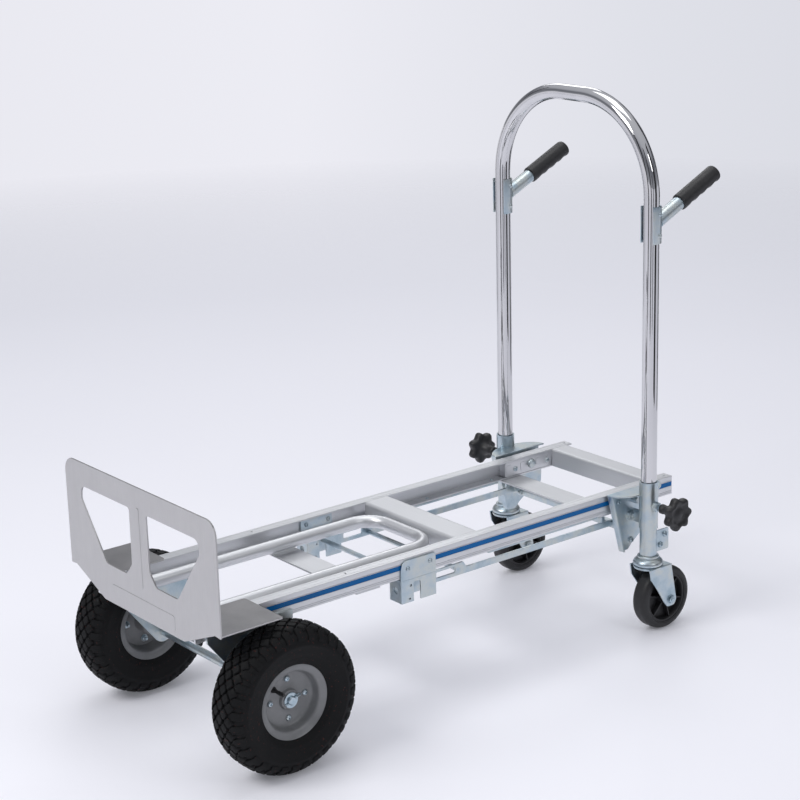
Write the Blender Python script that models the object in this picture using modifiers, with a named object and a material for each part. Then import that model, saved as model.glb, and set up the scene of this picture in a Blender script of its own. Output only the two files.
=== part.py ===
"""Convertible hand truck: a twin-rail aluminium platform with a nose plate and two pneumatic wheels
at the front, and a folding U handle on swivel casters at the back.

Metres, +Z up.  X runs along the deck from the nose plate (-X) to the handle (+X), Y is the width,
z = 0 is the ground, and the origin is the middle of the bounding box, on the ground.
Every x below is measured from the main axle with at(...), so the truck can be read from its axle.
"""
import math

import bmesh
import bpy
from mathutils import Matrix, Vector

# ---------------------------------------------------------------- driving dimensions
GAP = 0.0003               # clearance between pieces that touch
RUN = 0.0004               # radial clearance of a pin that turns in a hole

WHEEL_R = 0.130            # main wheels
WHEEL_W = 0.081
WHEEL_GAP = 0.0258         # rail side to tyre side
RIM_R = 0.0655
RIM_INSET = 0.0115         # rim lip inside the tyre's side
RIM_SHEET = 0.0016
RIM_DISC = 0.0072          # the rim's disc, outboard of the wheel's middle
HUB_R = 0.0175
HUB_OUT = 0.016
HUB_IN = 0.028
AXLE_R = 0.0075
SPACER_R = 0.0125
CAP_R = 0.0135
CAP_T = 0.0025
VALVE_X = -0.027           # valve stem, from the wheel's centre
VALVE_Z = 0.023
VALVE_R = 0.0055
VALVE_L = 0.030

RAIL_OUT = 0.1524          # outer face of each rail, from the centre line
RAIL_W = 0.0234
RAIL_H = 0.0365
RAIL_WALL = 0.003
RAIL_REACH = 0.972         # axle to the handle end of the rails
STRIPE_Z = 0.0165          # stripe groove above the rail's bottom
STRIPE_H = 0.009
STRIPE_BREAK = 0.012       # the stripe stops this far from the fold bolt
GROOVE = 0.0015

CHANNEL_WALL = 0.0025
MID_CHANNEL = (0.440, 0.498)
END_CHANNEL = (0.9170, 0.9595)
CROSS_AT = (0.205, 0.782)
CROSS_W = 0.053
CROSS_T = 0.0035
STRIP_T = 0.004
STRIP_INSET = 0.002

SHEET = 0.003              # nose plate
FLANGE_OVER_TYRE = 0.0138
NOSE_OVERHANG = 0.0025     # nose plate's front face behind the tyres' front
NOSE_HALF = 0.2335
NOSE_RISE = 0.1945         # above the rails
NOSE_DROP = 0.0395         # tongue below the flanges
TONGUE_HALF = 0.1245
FLANGE_LENGTH = 0.1225
FLANGE_INNER = 0.122

TOE_R = 0.0125             # folding toe bar
TOE_WALL = 0.002
TOE_INSET = 0.0395         # its centre line inside the rails
TOE_REACH = 0.4255         # axle to its cross part
TOE_BEND = 0.048
TOE_BACK = 0.0225          # its hinge pins, behind the nose plate
TOE_TAIL = 0.012
TOE_PIN_R = 0.005

BRACKET_T = 0.004          # wheel brackets and leg brackets
AXLE_BOSS = 0.020
AXLE_PLATE_BACK = 0.0205   # axle bracket's front edge, behind the nose plate

CLAMP_AT = (0.299, 0.377)  # middle brackets
CLAMP_T = 0.003
CLAMP_DROP = 0.046         # below the rails
CLAMP_NOTCH = (0.3265, 0.342)
MID_ROD_R = 0.0045

LATCH_INSET = 0.0159       # latch frame's bars, inside the rails' outer faces
LATCH_T = 0.004
LATCH_DROP = 0.0335        # its bottom below the rails
LATCH_H = 0.012
LATCH_TALL = 0.023
LATCH_AT = (0.385, 0.834)
LATCH_TIE = 0.012
LATCH_CROSS = 0.452

LEG_REACH = 0.858          # axle to the legs and the fold axis
LEG_STANDOFF = 0.044       # leg bracket's plate to the middle of the leg
HANDLE_R = 0.0148
HANDLE_WALL = 0.0016
HANDLE_TOP = 0.7535        # fold axis to the top of the arch, centre line
HANDLE_BEND = 0.172
HANDLE_FOOT = 0.0062       # handle's lower ends above the caster necks
TUBE_WALL = 0.0012
COLLAR_WALL = 0.0012
COLLAR_UP = 0.046
COLLAR_DOWN = 0.046
BOLT_R = 0.006
HEX_R = 0.0095
BRACKET_STANDOFF = 0.0061  # rail side to the leg bracket's plate
BRACKET_RISE = 0.004       # bracket top above the rails

GRIP_DROP = 0.2218         # grips below the arch top
GRIP_TILT = math.radians(25.5)
GRIP_START = 0.0775
GRIP_END = 0.181
GRIP_R = 0.0157
GRIP_ROUND = 0.0045
STUB_R = 0.0128
SLEEVE_WALL = 0.0025       # clamp around the handle
SLEEVE_UP = 0.037
SLEEVE_DOWN = 0.031

KNOB_R = 0.0335
KNOB_LOBES = 7
KNOB_WAVE = 0.0034
KNOB_T = 0.018
KNOB_STEM = 0.0315
STUD_R = 0.004
STUD_DEPTH = 0.020         # stud inside the knob

CASTER_R = 0.0625
CASTER_W = 0.034
CASTER_FACETS = 28         # tyre and core share them, so the core seats at any size
CASTER_TRAIL = 0.035
CASTER_HEAD = 0.0288       # radius of the swivel head
CASTER_RUBBER = 0.0145
CASTER_CLEAR = 0.0105      # tyre to the fork's crown
CUP_H = 0.0200
NECK_H = 0.028             # swivel head's neck, inside the lower leg
FORK_T = 0.0028
FORK_SIDE = 0.0037         # tyre side to the fork arm
CASTER_PIN_R = 0.004

# ---------------------------------------------------------------- worked-out places
RAIL_TOP = 2 * WHEEL_R + FLANGE_OVER_TYRE - GAP
RAIL_BOTTOM = RAIL_TOP - RAIL_H
RAIL_IN = RAIL_OUT - RAIL_W
WEB_IN = RAIL_OUT - RAIL_WALL - GROOVE * 0.5
PIVOT_Z = RAIL_BOTTOM + RAIL_H / 2
UNDER = RAIL_BOTTOM - GAP
WHEEL_Y = RAIL_OUT + WHEEL_GAP + WHEEL_W / 2
RIM_HALF = WHEEL_W / 2 - RIM_INSET
NOSE_FRONT = NOSE_OVERHANG - WHEEL_R
NOSE_BACK = NOSE_FRONT + SHEET
TOE_Y = RAIL_IN - TOE_INSET
TOE_Z = RAIL_BOTTOM + RAIL_H * 0.52
TOE_HINGE = NOSE_BACK + TOE_BACK
LATCH_Y = RAIL_OUT - LATCH_INSET
LATCH_Z = RAIL_BOTTOM - LATCH_DROP
BRACKET_Y = RAIL_OUT + BRACKET_STANDOFF
LEG_Y = BRACKET_Y + LEG_STANDOFF
LOWER_IN = HANDLE_R + GAP
LOWER_OUT = LOWER_IN + TUBE_WALL
COLLAR_IN = LOWER_OUT + GAP
COLLAR_OUT = COLLAR_IN + COLLAR_WALL
HANDLE_TOP_Z = PIVOT_Z + HANDLE_TOP
GRIP_Z = HANDLE_TOP_Z - GRIP_DROP
STUB_END = GRIP_END - 0.012
CASTER_TOP = 2 * CASTER_R + CASTER_CLEAR
LOWER_LEG_Z = CASTER_TOP + CUP_H + GAP
HANDLE_LOW_Z = CASTER_TOP + CUP_H + NECK_H + HANDLE_FOOT


def grip_profile():
    """Radius and distance from the leg's axis along a grip, from its inner end to its rounded outer end."""
    points = [(STUB_R + GAP, GRIP_START), (GRIP_R, GRIP_START)]
    for i in range(4):
        a = math.radians(90) * i / 3
        reach = GRIP_ROUND * math.sin(a)
        points.append((GRIP_R - GRIP_ROUND * (1 - math.cos(a)), GRIP_END - GRIP_ROUND + reach))
    points.append((0.0, GRIP_END))
    return points


GRIP_REACH = max(s * math.cos(GRIP_TILT) + r * math.sin(GRIP_TILT) for r, s in grip_profile())
AXLE_X = (WHEEL_R - LEG_REACH - GRIP_REACH) / 2


def at(x):
    """World x of a place measured from the main axle."""
    return AXLE_X + x


# ---------------------------------------------------------------- scene and materials
for old in list(bpy.data.objects):
    bpy.data.objects.remove(old, do_unlink=True)

truck = bpy.data.collections.new("convertible_hand_truck")
cutters = bpy.data.collections.new("cutters")
bpy.context.scene.collection.children.link(truck)
bpy.context.scene.collection.children.link(cutters)

FINISHES = {
    "aluminium": ((0.66, 0.67, 0.69), 0.36, 1.0),
    "sheet": ((0.62, 0.62, 0.64), 0.42, 1.0),
    "stripe": ((0.0, 0.09, 0.36), 0.35, 0.0),
    "zinc": ((0.56, 0.62, 0.66), 0.30, 1.0),
    "chrome": ((0.80, 0.80, 0.80), 0.08, 1.0),
    "rubber": ((0.018, 0.018, 0.020), 0.72, 0.0),
    "rim": ((0.16, 0.165, 0.17), 0.45, 0.4),
    "plastic": ((0.015, 0.015, 0.016), 0.45, 0.0),
}


def finish(obj, kind):
    colour, roughness, metallic = FINISHES[kind]
    material = bpy.data.materials.new(obj.name + "_" + kind)
    material.use_nodes = True
    shader = material.node_tree.nodes["Principled BSDF"]
    shader.inputs["Base Color"].default_value = (*colour, 1.0)
    shader.inputs["Roughness"].default_value = roughness
    shader.inputs["Metallic"].default_value = metallic
    obj.data.materials.clear()
    obj.data.materials.append(material)


# ---------------------------------------------------------------- modelling helpers
AXES = {
    "X": Matrix(((0, 0, 1), (1, 0, 0), (0, 1, 0))),
    "Y": Matrix(((1, 0, 0), (0, 0, -1), (0, 1, 0))),
    "Z": Matrix.Identity(3),
}


def place(obj, location, rotation=None):
    obj.location = location
    if rotation is not None:
        obj.rotation_euler = rotation.to_euler()
    return obj


def weld(mesh):
    work = bmesh.new()
    work.from_mesh(mesh)
    bmesh.ops.remove_doubles(work, verts=work.verts, dist=1e-6)
    bmesh.ops.recalc_face_normals(work, faces=work.faces)
    work.to_mesh(mesh)
    work.free()


def solid_from(obj):
    """Replace a curve or modified object by its evaluated mesh."""
    bpy.context.view_layer.update()
    shape = obj.evaluated_get(bpy.context.evaluated_depsgraph_get())
    mesh = bpy.data.meshes.new_from_object(shape)
    name = obj.name
    matrix = obj.matrix_world.copy()
    bpy.data.objects.remove(obj, do_unlink=True)
    weld(mesh)
    result = bpy.data.objects.new(name, mesh)
    result.matrix_world = matrix
    truck.objects.link(result)
    return result


def box(name, x, y, z):
    """Box between two x, two y and two z values."""
    work = bmesh.new()
    bmesh.ops.create_cube(work, size=1.0)
    size = Vector((abs(x[1] - x[0]), abs(y[1] - y[0]), abs(z[1] - z[0])))
    bmesh.ops.scale(work, vec=size, verts=work.verts)
    mesh = bpy.data.meshes.new(name)
    work.to_mesh(mesh)
    work.free()
    obj = bpy.data.objects.new(name, mesh)
    truck.objects.link(obj)
    return place(obj, (sum(x) / 2, sum(y) / 2, sum(z) / 2))


def rod(name, radius, start, end, segments=20):
    """Solid cylinder between two points."""
    start = Vector(start)
    end = Vector(end)
    work = bmesh.new()
    bmesh.ops.create_cone(work, cap_ends=True, segments=segments, radius1=radius, radius2=radius,
                          depth=(end - start).length)
    mesh = bpy.data.meshes.new(name)
    work.to_mesh(mesh)
    work.free()
    obj = bpy.data.objects.new(name, mesh)
    truck.objects.link(obj)
    obj.location = (start + end) / 2
    obj.rotation_euler = (end - start).to_track_quat("Z", "Y").to_euler()
    return obj


def slab(name, loops, thickness, axis, location):
    """Flat outline, with holes as further loops, given a thickness along an axis.

    Outline points are (y, z) for axis X, (x, z) for axis Y and (x, y) for axis Z.
    """
    curve = bpy.data.curves.new(name, "CURVE")
    curve.dimensions = "2D"
    curve.fill_mode = "BOTH"
    curve.extrude = thickness / 2
    for loop in loops:
        spline = curve.splines.new("POLY")
        spline.points.add(len(loop) - 1)
        for point, (u, v) in zip(spline.points, loop):
            point.co = (u, v, 0.0, 1.0)
        spline.use_cyclic_u = True
    obj = bpy.data.objects.new(name, curve)
    truck.objects.link(obj)
    place(obj, location, AXES[axis])
    return solid_from(obj)


def pipe(name, path, radius, sides, wall=0.0):
    """Tube along a list of points; solid when wall is 0."""
    curve = bpy.data.curves.new(name, "CURVE")
    curve.dimensions = "3D"
    curve.bevel_depth = radius
    curve.bevel_resolution = (sides - 4) // 2
    curve.use_fill_caps = wall == 0.0
    spline = curve.splines.new("POLY")
    spline.points.add(len(path) - 1)
    for point, co in zip(spline.points, path):
        point.co = (*co, 1.0)
    obj = bpy.data.objects.new(name, curve)
    truck.objects.link(obj)
    obj = solid_from(obj)
    if wall > 0.0:
        shell = obj.modifiers.new("wall", "SOLIDIFY")
        shell.thickness = wall
        shell.offset = -1.0
        shell.use_even_offset = True
    return obj


def turned(name, profile, segments, location, direction, closed=True):
    """Turn (radius, distance) points about a direction through a location.

    The points run down the outer side, from the far end back to the near end.
    """
    mesh = bpy.data.meshes.new(name)
    work = bmesh.new()
    verts = [work.verts.new((r, 0.0, s)) for r, s in profile]
    pairs = list(zip(verts, verts[1:]))
    if closed:
        pairs.append((verts[-1], verts[0]))
    for pair in pairs:
        work.edges.new(pair)
    work.to_mesh(mesh)
    work.free()
    obj = bpy.data.objects.new(name, mesh)
    truck.objects.link(obj)
    screw = obj.modifiers.new("turn", "SCREW")
    screw.axis = "Z"
    screw.steps = segments
    screw.render_steps = segments
    screw.use_merge_vertices = True
    screw.merge_threshold = 1e-6
    screw.use_normal_calculate = True
    obj.location = location
    obj.rotation_euler = Vector(direction).to_track_quat("Z", "Y").to_euler()
    return solid_from(obj)


def combine(obj, others, operation):
    for other in others:
        truck.objects.unlink(other)
        cutters.objects.link(other)
        other.hide_render = True
        other.display_type = "WIRE"
        modifier = obj.modifiers.new(other.name, "BOOLEAN")
        modifier.operation = operation
        modifier.solver = "EXACT"
        modifier.object = other
    return obj


def cut(obj, *others):
    return combine(obj, others, "DIFFERENCE")


def join(obj, *others):
    return combine(obj, others, "UNION")


def smooth(obj, degrees=35):
    obj.data.shade_smooth()
    obj.data.set_sharp_from_angle(angle=math.radians(degrees))


def circle(cx, cy, radius, steps=16):
    angles = [2 * math.pi * i / steps for i in range(steps)]
    return [(cx + radius * math.cos(a), cy + radius * math.sin(a)) for a in angles]


def rounded(corners, steps=4):
    """Outline through (x, y, radius) corners, each rounded by its radius, or by what its sides allow."""
    points = []
    count = len(corners)
    for i, (x, y, radius) in enumerate(corners):
        here = Vector((x, y))
        if radius <= 0.0:
            points.append((x, y))
            continue
        before = corners[i - 1]
        after = corners[(i + 1) % count]
        back = Vector(before[:2]) - here
        ahead = Vector(after[:2]) - here
        room = [back.length / (2 if before[2] > 0 else 1), ahead.length / (2 if after[2] > 0 else 1)]
        back.normalize()
        ahead.normalize()
        half = back.angle(ahead) / 2
        run = min(radius / math.tan(half), 0.98 * min(room))
        radius = run * math.tan(half)
        centre = here + (back + ahead).normalized() * radius / math.sin(half)
        start = here + back * run - centre
        end = here + ahead * run - centre
        sweep = start.angle_signed(end)
        for k in range(steps + 1):
            a = -sweep * k / steps
            turn = Vector((start.x * math.cos(a) - start.y * math.sin(a),
                           start.x * math.sin(a) + start.y * math.cos(a)))
            points.append(tuple(centre + turn))
    return points


def arc(centre, radius, start, end, steps):
    """Points of an arc between two angles in degrees."""
    points = []
    for i in range(steps + 1):
        a = math.radians(start + (end - start) * i / steps)
        points.append((centre[0] + radius * math.cos(a), centre[1] + radius * math.sin(a)))
    return points


SIDES = (("l", 1), ("r", -1))


# ---------------------------------------------------------------- rails, stripes, crossmembers
def rails():
    leg = at(LEG_REACH)
    groove_top = STRIPE_Z + STRIPE_H
    for tag, side in SIDES:
        outline = [
            (0.0, 0.0), (0.0, STRIPE_Z), (GROOVE, STRIPE_Z), (GROOVE, groove_top), (0.0, groove_top),
            (0.0, RAIL_H), (RAIL_W, RAIL_H), (RAIL_W, RAIL_H - RAIL_WALL),
            (RAIL_OUT - WEB_IN, RAIL_H - RAIL_WALL), (RAIL_OUT - WEB_IN, RAIL_WALL),
            (RAIL_W, RAIL_WALL), (RAIL_W, 0.0),
        ]
        loop = [(side * (RAIL_OUT - t), RAIL_BOTTOM + z) for t, z in outline]
        start = at(NOSE_BACK + GAP)
        end = at(RAIL_REACH)
        rail = slab("rail_" + tag, [loop], end - start, "X", ((start + end) / 2, 0, 0))
        hole = bolt_hole("rail_hole_" + tag, leg, side, RAIL_IN, RAIL_OUT)
        finish(cut(rail, hole), "aluminium")
        y = (side * (RAIL_OUT - GROOVE + GAP), side * (RAIL_OUT - GAP))
        z = (RAIL_BOTTOM + STRIPE_Z + GAP, RAIL_BOTTOM + groove_top - GAP)
        runs = (("stripe_", NOSE_BACK + 2 * GAP, LEG_REACH - STRIPE_BREAK),
                ("stripe_end_", LEG_REACH + STRIPE_BREAK, RAIL_REACH - GAP))
        for name, x0, x1 in runs:
            finish(box(name + tag, (at(x0), at(x1)), y, z), "stripe")


def bolt_hole(name, x, side, inner, outer):
    """Cutter for the fold bolt through everything between two distances from the centre line."""
    past = 0.01
    start = (x, side * (inner - past), PIVOT_Z)
    end = (x, side * (outer + past), PIVOT_Z)
    return rod(name, BOLT_R + RUN, start, end, 16)


def channel(name, span, bottom, corner):
    """Crossmember folded down at both edges, with a small radius on its top edges."""
    x0, x1 = at(span[0]), at(span[1])
    top = RAIL_TOP - GAP
    wall = CHANNEL_WALL
    outer = rounded([(x0, bottom, 0), (x0, top, corner), (x1, top, corner), (x1, bottom, 0)])
    inner = rounded([(x1 - wall, bottom, 0), (x1 - wall, top - wall, corner - wall),
                     (x0 + wall, top - wall, corner - wall), (x0 + wall, bottom, 0)])
    finish(slab(name, [outer + inner], 2 * (RAIL_IN - GAP), "Y", (0, 0, 0)), "aluminium")


def crossmembers():
    channel("mid_channel", MID_CHANNEL, RAIL_BOTTOM + 0.003, 0.006)
    channel("end_channel", END_CHANNEL, RAIL_BOTTOM + 0.001, 0.004)
    half = RAIL_OUT - STRIP_INSET
    for name, x in zip(("front_cross", "rear_cross"), CROSS_AT):
        cross = box(name, (at(x), at(x + CROSS_W)), (-half, half), (UNDER - CROSS_T, UNDER))
        finish(cross, "aluminium")
    ends = (at(MID_CHANNEL[1] + 0.007), at(CROSS_AT[1] - 0.007))
    for tag, side in SIDES:
        y = (side * (RAIL_IN + 0.001), side * half)
        strip = box("under_strip_" + tag, ends, y, (UNDER - STRIP_T, UNDER))
        finish(strip, "zinc")


# ---------------------------------------------------------------- nose plate and toe bar
def nose_plate():
    low = RAIL_TOP
    top = low + NOSE_RISE
    sill = low + 0.030
    edge = NOSE_HALF - 0.017
    half = [(TONGUE_HALF, low - NOSE_DROP, 0.006), (edge, low - 0.0004, 0.002),
            (NOSE_HALF, low - 0.0018, 0.0015), (NOSE_HALF, top, 0.026)]
    loops = [rounded(half + [(-y, z, r) for y, z, r in reversed(half)])]
    window = [(0.0265, top - 0.0425, 0.006), (NOSE_HALF - 0.0525, top - 0.0425, 0.014),
              (NOSE_HALF - 0.0495, sill + 0.098, 0.010), (0.1115, sill, 0.010), (0.046, sill, 0.010),
              (0.0275, sill + 0.022, 0.012)]
    for side in (1, -1):
        loops.append(rounded([(side * y, z, r) for y, z, r in window]))
    plate = slab("nose_plate", loops, SHEET, "X", (at(NOSE_FRONT + SHEET / 2), 0, 0))
    flange_z = RAIL_TOP + GAP
    for side in (1, -1):
        flange = box("nose_flange", (at(NOSE_FRONT + SHEET * 0.3), at(NOSE_FRONT + FLANGE_LENGTH)),
                     (side * FLANGE_INNER, side * (NOSE_HALF - 0.0004)), (flange_z, flange_z + SHEET))
        join(plate, flange)
    rib = box("nose_rib", (at(NOSE_FRONT - 0.0008), at(NOSE_FRONT + SHEET / 2)), (-0.0045, 0.0045),
              (low + 0.016, top - 0.036))
    finish(join(plate, rib), "sheet")


def toe_bar():
    """U bar that lies between the rails and folds up against the nose plate to lengthen it."""
    hinge = at(TOE_HINGE)
    corner = at(TOE_REACH) - TOE_BEND
    turn = [math.radians(90) * i / 6 for i in range(7)]
    path = [(at(TOE_HINGE - TOE_TAIL), -TOE_Y)]
    path += [(corner + TOE_BEND * math.sin(a), -TOE_Y + TOE_BEND - TOE_BEND * math.cos(a)) for a in turn]
    path += [(x, -y) for x, y in reversed(path)]
    bar = pipe("toe_bar", [(x, y, TOE_Z) for x, y in path], TOE_R, 10, TOE_WALL)
    past = TOE_Y + TOE_R + 0.02
    hole = rod("toe_bar_hole", TOE_PIN_R + RUN, (hinge, -past, TOE_Z), (hinge, past, TOE_Z), 16)
    finish(cut(bar, hole), "aluminium")
    smooth(bar)
    plate_t = 0.003
    plate_y = TOE_Y + TOE_R + 0.0015 + plate_t / 2
    nose = at(NOSE_BACK + GAP)
    tip = hinge + 0.013
    outline = rounded([(nose, TOE_Z - 0.015, 0.001), (tip, TOE_Z - 0.012, 0.010),
                       (tip, TOE_Z + 0.012, 0.010), (nose, TOE_Z + 0.015, 0.001)])
    for tag, side in SIDES:
        plate = slab("toe_pivot_" + tag, [outline], plate_t, "Y", (0, side * plate_y, 0))
        inner = TOE_Y - TOE_R - 0.0045
        foot = (hinge, side * inner, TOE_Z)
        pin = rod("toe_pin_" + tag, TOE_PIN_R, foot, (hinge, side * plate_y, TOE_Z), 16)
        head = rod("toe_pin_head_" + tag, TOE_PIN_R + 0.003, (hinge, side * (inner - 0.001), TOE_Z),
                   (hinge, side * (inner + 0.0032), TOE_Z), 6)
        finish(join(plate, pin, head), "zinc")


# ---------------------------------------------------------------- main wheels
def axle_and_brackets():
    hub_in = WHEEL_Y - HUB_IN
    bracket_in = RAIL_OUT + GAP
    spacer = bracket_in + BRACKET_T + GAP
    end = WHEEL_Y + HUB_OUT + GAP + CAP_T + 0.0045
    half = [(0.0, end), (AXLE_R - 0.001, end), (AXLE_R, end - 0.001), (AXLE_R, hub_in - GAP),
            (SPACER_R, hub_in - GAP), (SPACER_R, spacer), (AXLE_R, spacer)]
    axle = turned("axle", half + mirrored(half), 16, (at(0), 0, WHEEL_R), (0, 1, 0), closed=False)
    finish(axle, "zinc")
    smooth(axle)
    low = RAIL_BOTTOM - 0.004
    top = RAIL_BOTTOM + STRIPE_Z - 0.006
    front = at(NOSE_BACK + AXLE_PLATE_BACK)
    outline = [(front, low), (front, top), (at(0.066), top), (at(0.066), low)]
    outline += list(reversed(arc((at(0), WHEEL_R), AXLE_BOSS, 215, 380, 12)))
    for tag, side in SIDES:
        loops = [outline, circle(at(0), WHEEL_R, AXLE_R + RUN)]
        middle = (0, side * (bracket_in + BRACKET_T / 2), 0)
        plate = slab("axle_bracket_" + tag, loops, BRACKET_T, "Y", middle)
        finish(plate, "zinc")
        start = WHEEL_Y + HUB_OUT + GAP
        ring = [(CAP_R, start + CAP_T), (CAP_R, start), (AXLE_R + GAP, start), (AXLE_R + GAP, start + CAP_T)]
        cap = turned("axle_cap_" + tag, ring, 20, (at(0), 0, WHEEL_R), (0, side, 0))
        finish(cap, "zinc")
        smooth(cap)


def tyre_profile():
    """Hollow tyre, open towards the rim between its beads."""
    h = WHEEL_W / 2
    r = WHEEL_R
    section = r - RIM_R
    bead = RIM_R - 0.007
    outer = [(r, 0.25 * h), (r - 0.054 * section, 0.62 * h), (r - 0.20 * section, 0.90 * h),
             (r - 0.465 * section, h), (RIM_R + 0.0008, RIM_HALF + 0.0020),
             (RIM_R + 0.0008, RIM_HALF - RIM_SHEET - 0.0010), (bead, RIM_HALF - 0.0060)]
    inner = [(bead, RIM_HALF - 0.0140), (RIM_R + 0.19 * section, 0.66 * h),
             (r - 0.34 * section, 0.78 * h), (r - 0.13 * section, 0.35 * h)]
    half = outer + inner
    return half + mirrored(inner) + mirrored(outer)


def rim_profile():
    """Two pressed rim halves on a hub tube, as one turned piece."""
    bore = AXLE_R + RUN
    lip = RIM_HALF
    drop = RIM_R - 0.0135
    outside = [(bore, HUB_OUT), (HUB_R, HUB_OUT), (HUB_R, RIM_DISC), (drop - 0.0015, RIM_DISC),
               (drop, lip - 0.0065), (RIM_R, lip), (RIM_R, lip - RIM_SHEET),
               (drop + 0.005, lip - 0.0052), (drop + 0.004, 0.0100)]
    back = [(drop + 0.004, -0.0100), (drop + 0.005, -lip + 0.0052), (RIM_R, -lip + RIM_SHEET),
            (RIM_R, -lip), (drop, -lip + 0.0065), (drop - 0.0020, 0.0018), (HUB_R, 0.0018),
            (HUB_R, -HUB_IN), (bore, -HUB_IN)]
    return outside + back


def main_wheels():
    base = WHEEL_Y + RIM_DISC + GAP
    stem = [(0.0, base + VALVE_L), (VALVE_R * 0.5, base + VALVE_L), (VALVE_R * 0.62, base + 0.006),
            (VALVE_R, base + 0.003), (VALVE_R, base), (0.0, base)]
    for tag, side in SIDES:
        hub = (at(0), side * WHEEL_Y, WHEEL_R)
        tyre = turned("tyre_" + tag, tyre_profile(), 36, hub, (0, side, 0))
        finish(tyre, "rubber")
        smooth(tyre, 50)
        rim = turned("rim_" + tag, rim_profile(), 24, hub, (0, side, 0))
        finish(rim, "rim")
        smooth(rim)
        foot = (at(VALVE_X), 0, WHEEL_R + VALVE_Z)
        valve = turned("valve_" + tag, stem, 12, foot, (0, side, 0), closed=False)
        finish(valve, "rubber")
        smooth(valve)


# ---------------------------------------------------------------- middle brackets and latch frame
def mid_brackets():
    """Two side plates on a roof that hooks over the rail, closed at the nose end, with a notch below."""
    x0, x1 = at(CLAMP_AT[0]), at(CLAMP_AT[1])
    foot = RAIL_BOTTOM - CLAMP_DROP
    roof = UNDER - 0.002
    lip = RAIL_TOP - 0.004
    inner = RAIL_IN - 0.007
    out = RAIL_OUT + GAP
    section = [(inner, foot), (inner, roof), (out, roof), (out, lip), (out + CLAMP_T, lip),
               (out + CLAMP_T, foot), (out, foot), (out, roof - CLAMP_T),
               (inner + CLAMP_T, roof - CLAMP_T), (inner + CLAMP_T, foot)]
    notch_top = RAIL_BOTTOM - 0.010
    gap = rounded([(at(CLAMP_NOTCH[0]), foot - 0.01, 0), (at(CLAMP_NOTCH[0]), notch_top, 0.004),
                   (at(CLAMP_NOTCH[1]), notch_top, 0.004), (at(CLAMP_NOTCH[1]), foot - 0.01, 0)])
    for tag, side in SIDES:
        loop = [(side * y, z) for y, z in section]
        bracket = slab("mid_bracket_" + tag, [loop], x1 - x0, "X", ((x0 + x1) / 2, 0, 0))
        across = (side * (inner + 0.001), side * (out + 0.001))
        end = box("mid_end_" + tag, (x0 + 0.0002, x0 + CLAMP_T), across, (foot + 0.001, roof - 0.001))
        notch = slab("notch_" + tag, [gap], 0.08, "Y", (0, side * (out - 0.010), 0))
        finish(cut(join(bracket, end), notch), "zinc")
        face = WEB_IN - GAP
        clamp = box("mid_clamp_" + tag, (x0 + 0.003, x1 - 0.003), (side * (face - 0.004), side * face),
                    (RAIL_BOTTOM + RAIL_WALL + 0.002, RAIL_TOP - RAIL_WALL - 0.002))
        finish(clamp, "zinc")
    x = at(sum(CLAMP_NOTCH) / 2)
    z = notch_top - 0.0005
    bar = rod("mid_rod", MID_ROD_R, (x, -inner + GAP, z), (x, inner - GAP, z), 12)
    finish(bar, "zinc")
    smooth(bar)


def latch_frame():
    """Two side bars, a round cross bar near the middle and a tie bar behind the leg brackets."""
    x0, x1 = at(LATCH_AT[0]), at(LATCH_AT[1])
    low = LATCH_Z
    high = low + LATCH_H
    tall = low + LATCH_TALL
    tie = x1 - LATCH_TIE
    catch = x1 - 0.028
    window_end = at(LATCH_CROSS - 0.016)
    reach = BRACKET_Y - 0.0031
    frame = box("latch_frame", (tie, x1), (-reach, reach), (low - 0.003, high - 0.003))
    end = (tie + x1) / 2
    outline = rounded([(x0, low, 0.003), (end, low, 0), (end, high, 0), (catch, high, 0),
                       (catch, tall, 0.002), (catch - 0.007, tall, 0.002), (catch - 0.007, high, 0.001),
                       (at(LATCH_CROSS + 0.010), high, 0.002), (at(LATCH_CROSS + 0.003), tall, 0.003),
                       (x0, tall, 0.003)], 2)
    window = rounded([(x0 + 0.007, low + 0.007, 0.002), (window_end, low + 0.007, 0.002),
                      (window_end, tall - 0.005, 0.002), (x0 + 0.007, tall - 0.005, 0.002)], 2)
    for tag, side in SIDES:
        bar = slab("latch_bar_" + tag, [outline, window], LATCH_T, "Y", (0, side * LATCH_Y, 0))
        join(frame, bar)
    z = (low + high) / 2
    x = at(LATCH_CROSS)
    join(frame, rod("latch_cross", MID_ROD_R, (x, -LATCH_Y, z), (x, LATCH_Y, z), 12))
    finish(frame, "zinc")


# ---------------------------------------------------------------- fold joint at the handle end
def fold_joint():
    leg = at(LEG_REACH)
    block_out = WEB_IN - GAP
    nut = BRACKET_Y + BRACKET_T + GAP
    washer = HEX_R + 0.0015
    outside = BRACKET_Y - GAP
    inside = RAIL_OUT + GAP
    profile = [(0.0, nut + 0.007), (HEX_R, nut + 0.007), (HEX_R, nut), (BOLT_R, nut),
               (BOLT_R, outside), (washer, outside), (washer, inside), (BOLT_R, inside),
               (BOLT_R, RAIL_IN), (HEX_R, RAIL_IN), (HEX_R, RAIL_IN - 0.006), (0.0, RAIL_IN - 0.006)]
    for tag, side in SIDES:
        across = (side * (RAIL_IN + GAP), side * block_out)
        block = box("inner_block_" + tag, (leg - 0.0655, leg + 0.0580), across,
                    (RAIL_BOTTOM + RAIL_WALL + GAP, RAIL_TOP - RAIL_WALL - GAP))
        finish(cut(block, bolt_hole("block_hole_" + tag, leg, side, RAIL_IN, block_out)), "aluminium")
        bolt = turned("pivot_bolt_" + tag, profile, 12, (leg, 0, PIVOT_Z), (0, side, 0), closed=False)
        finish(bolt, "zinc")


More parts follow.
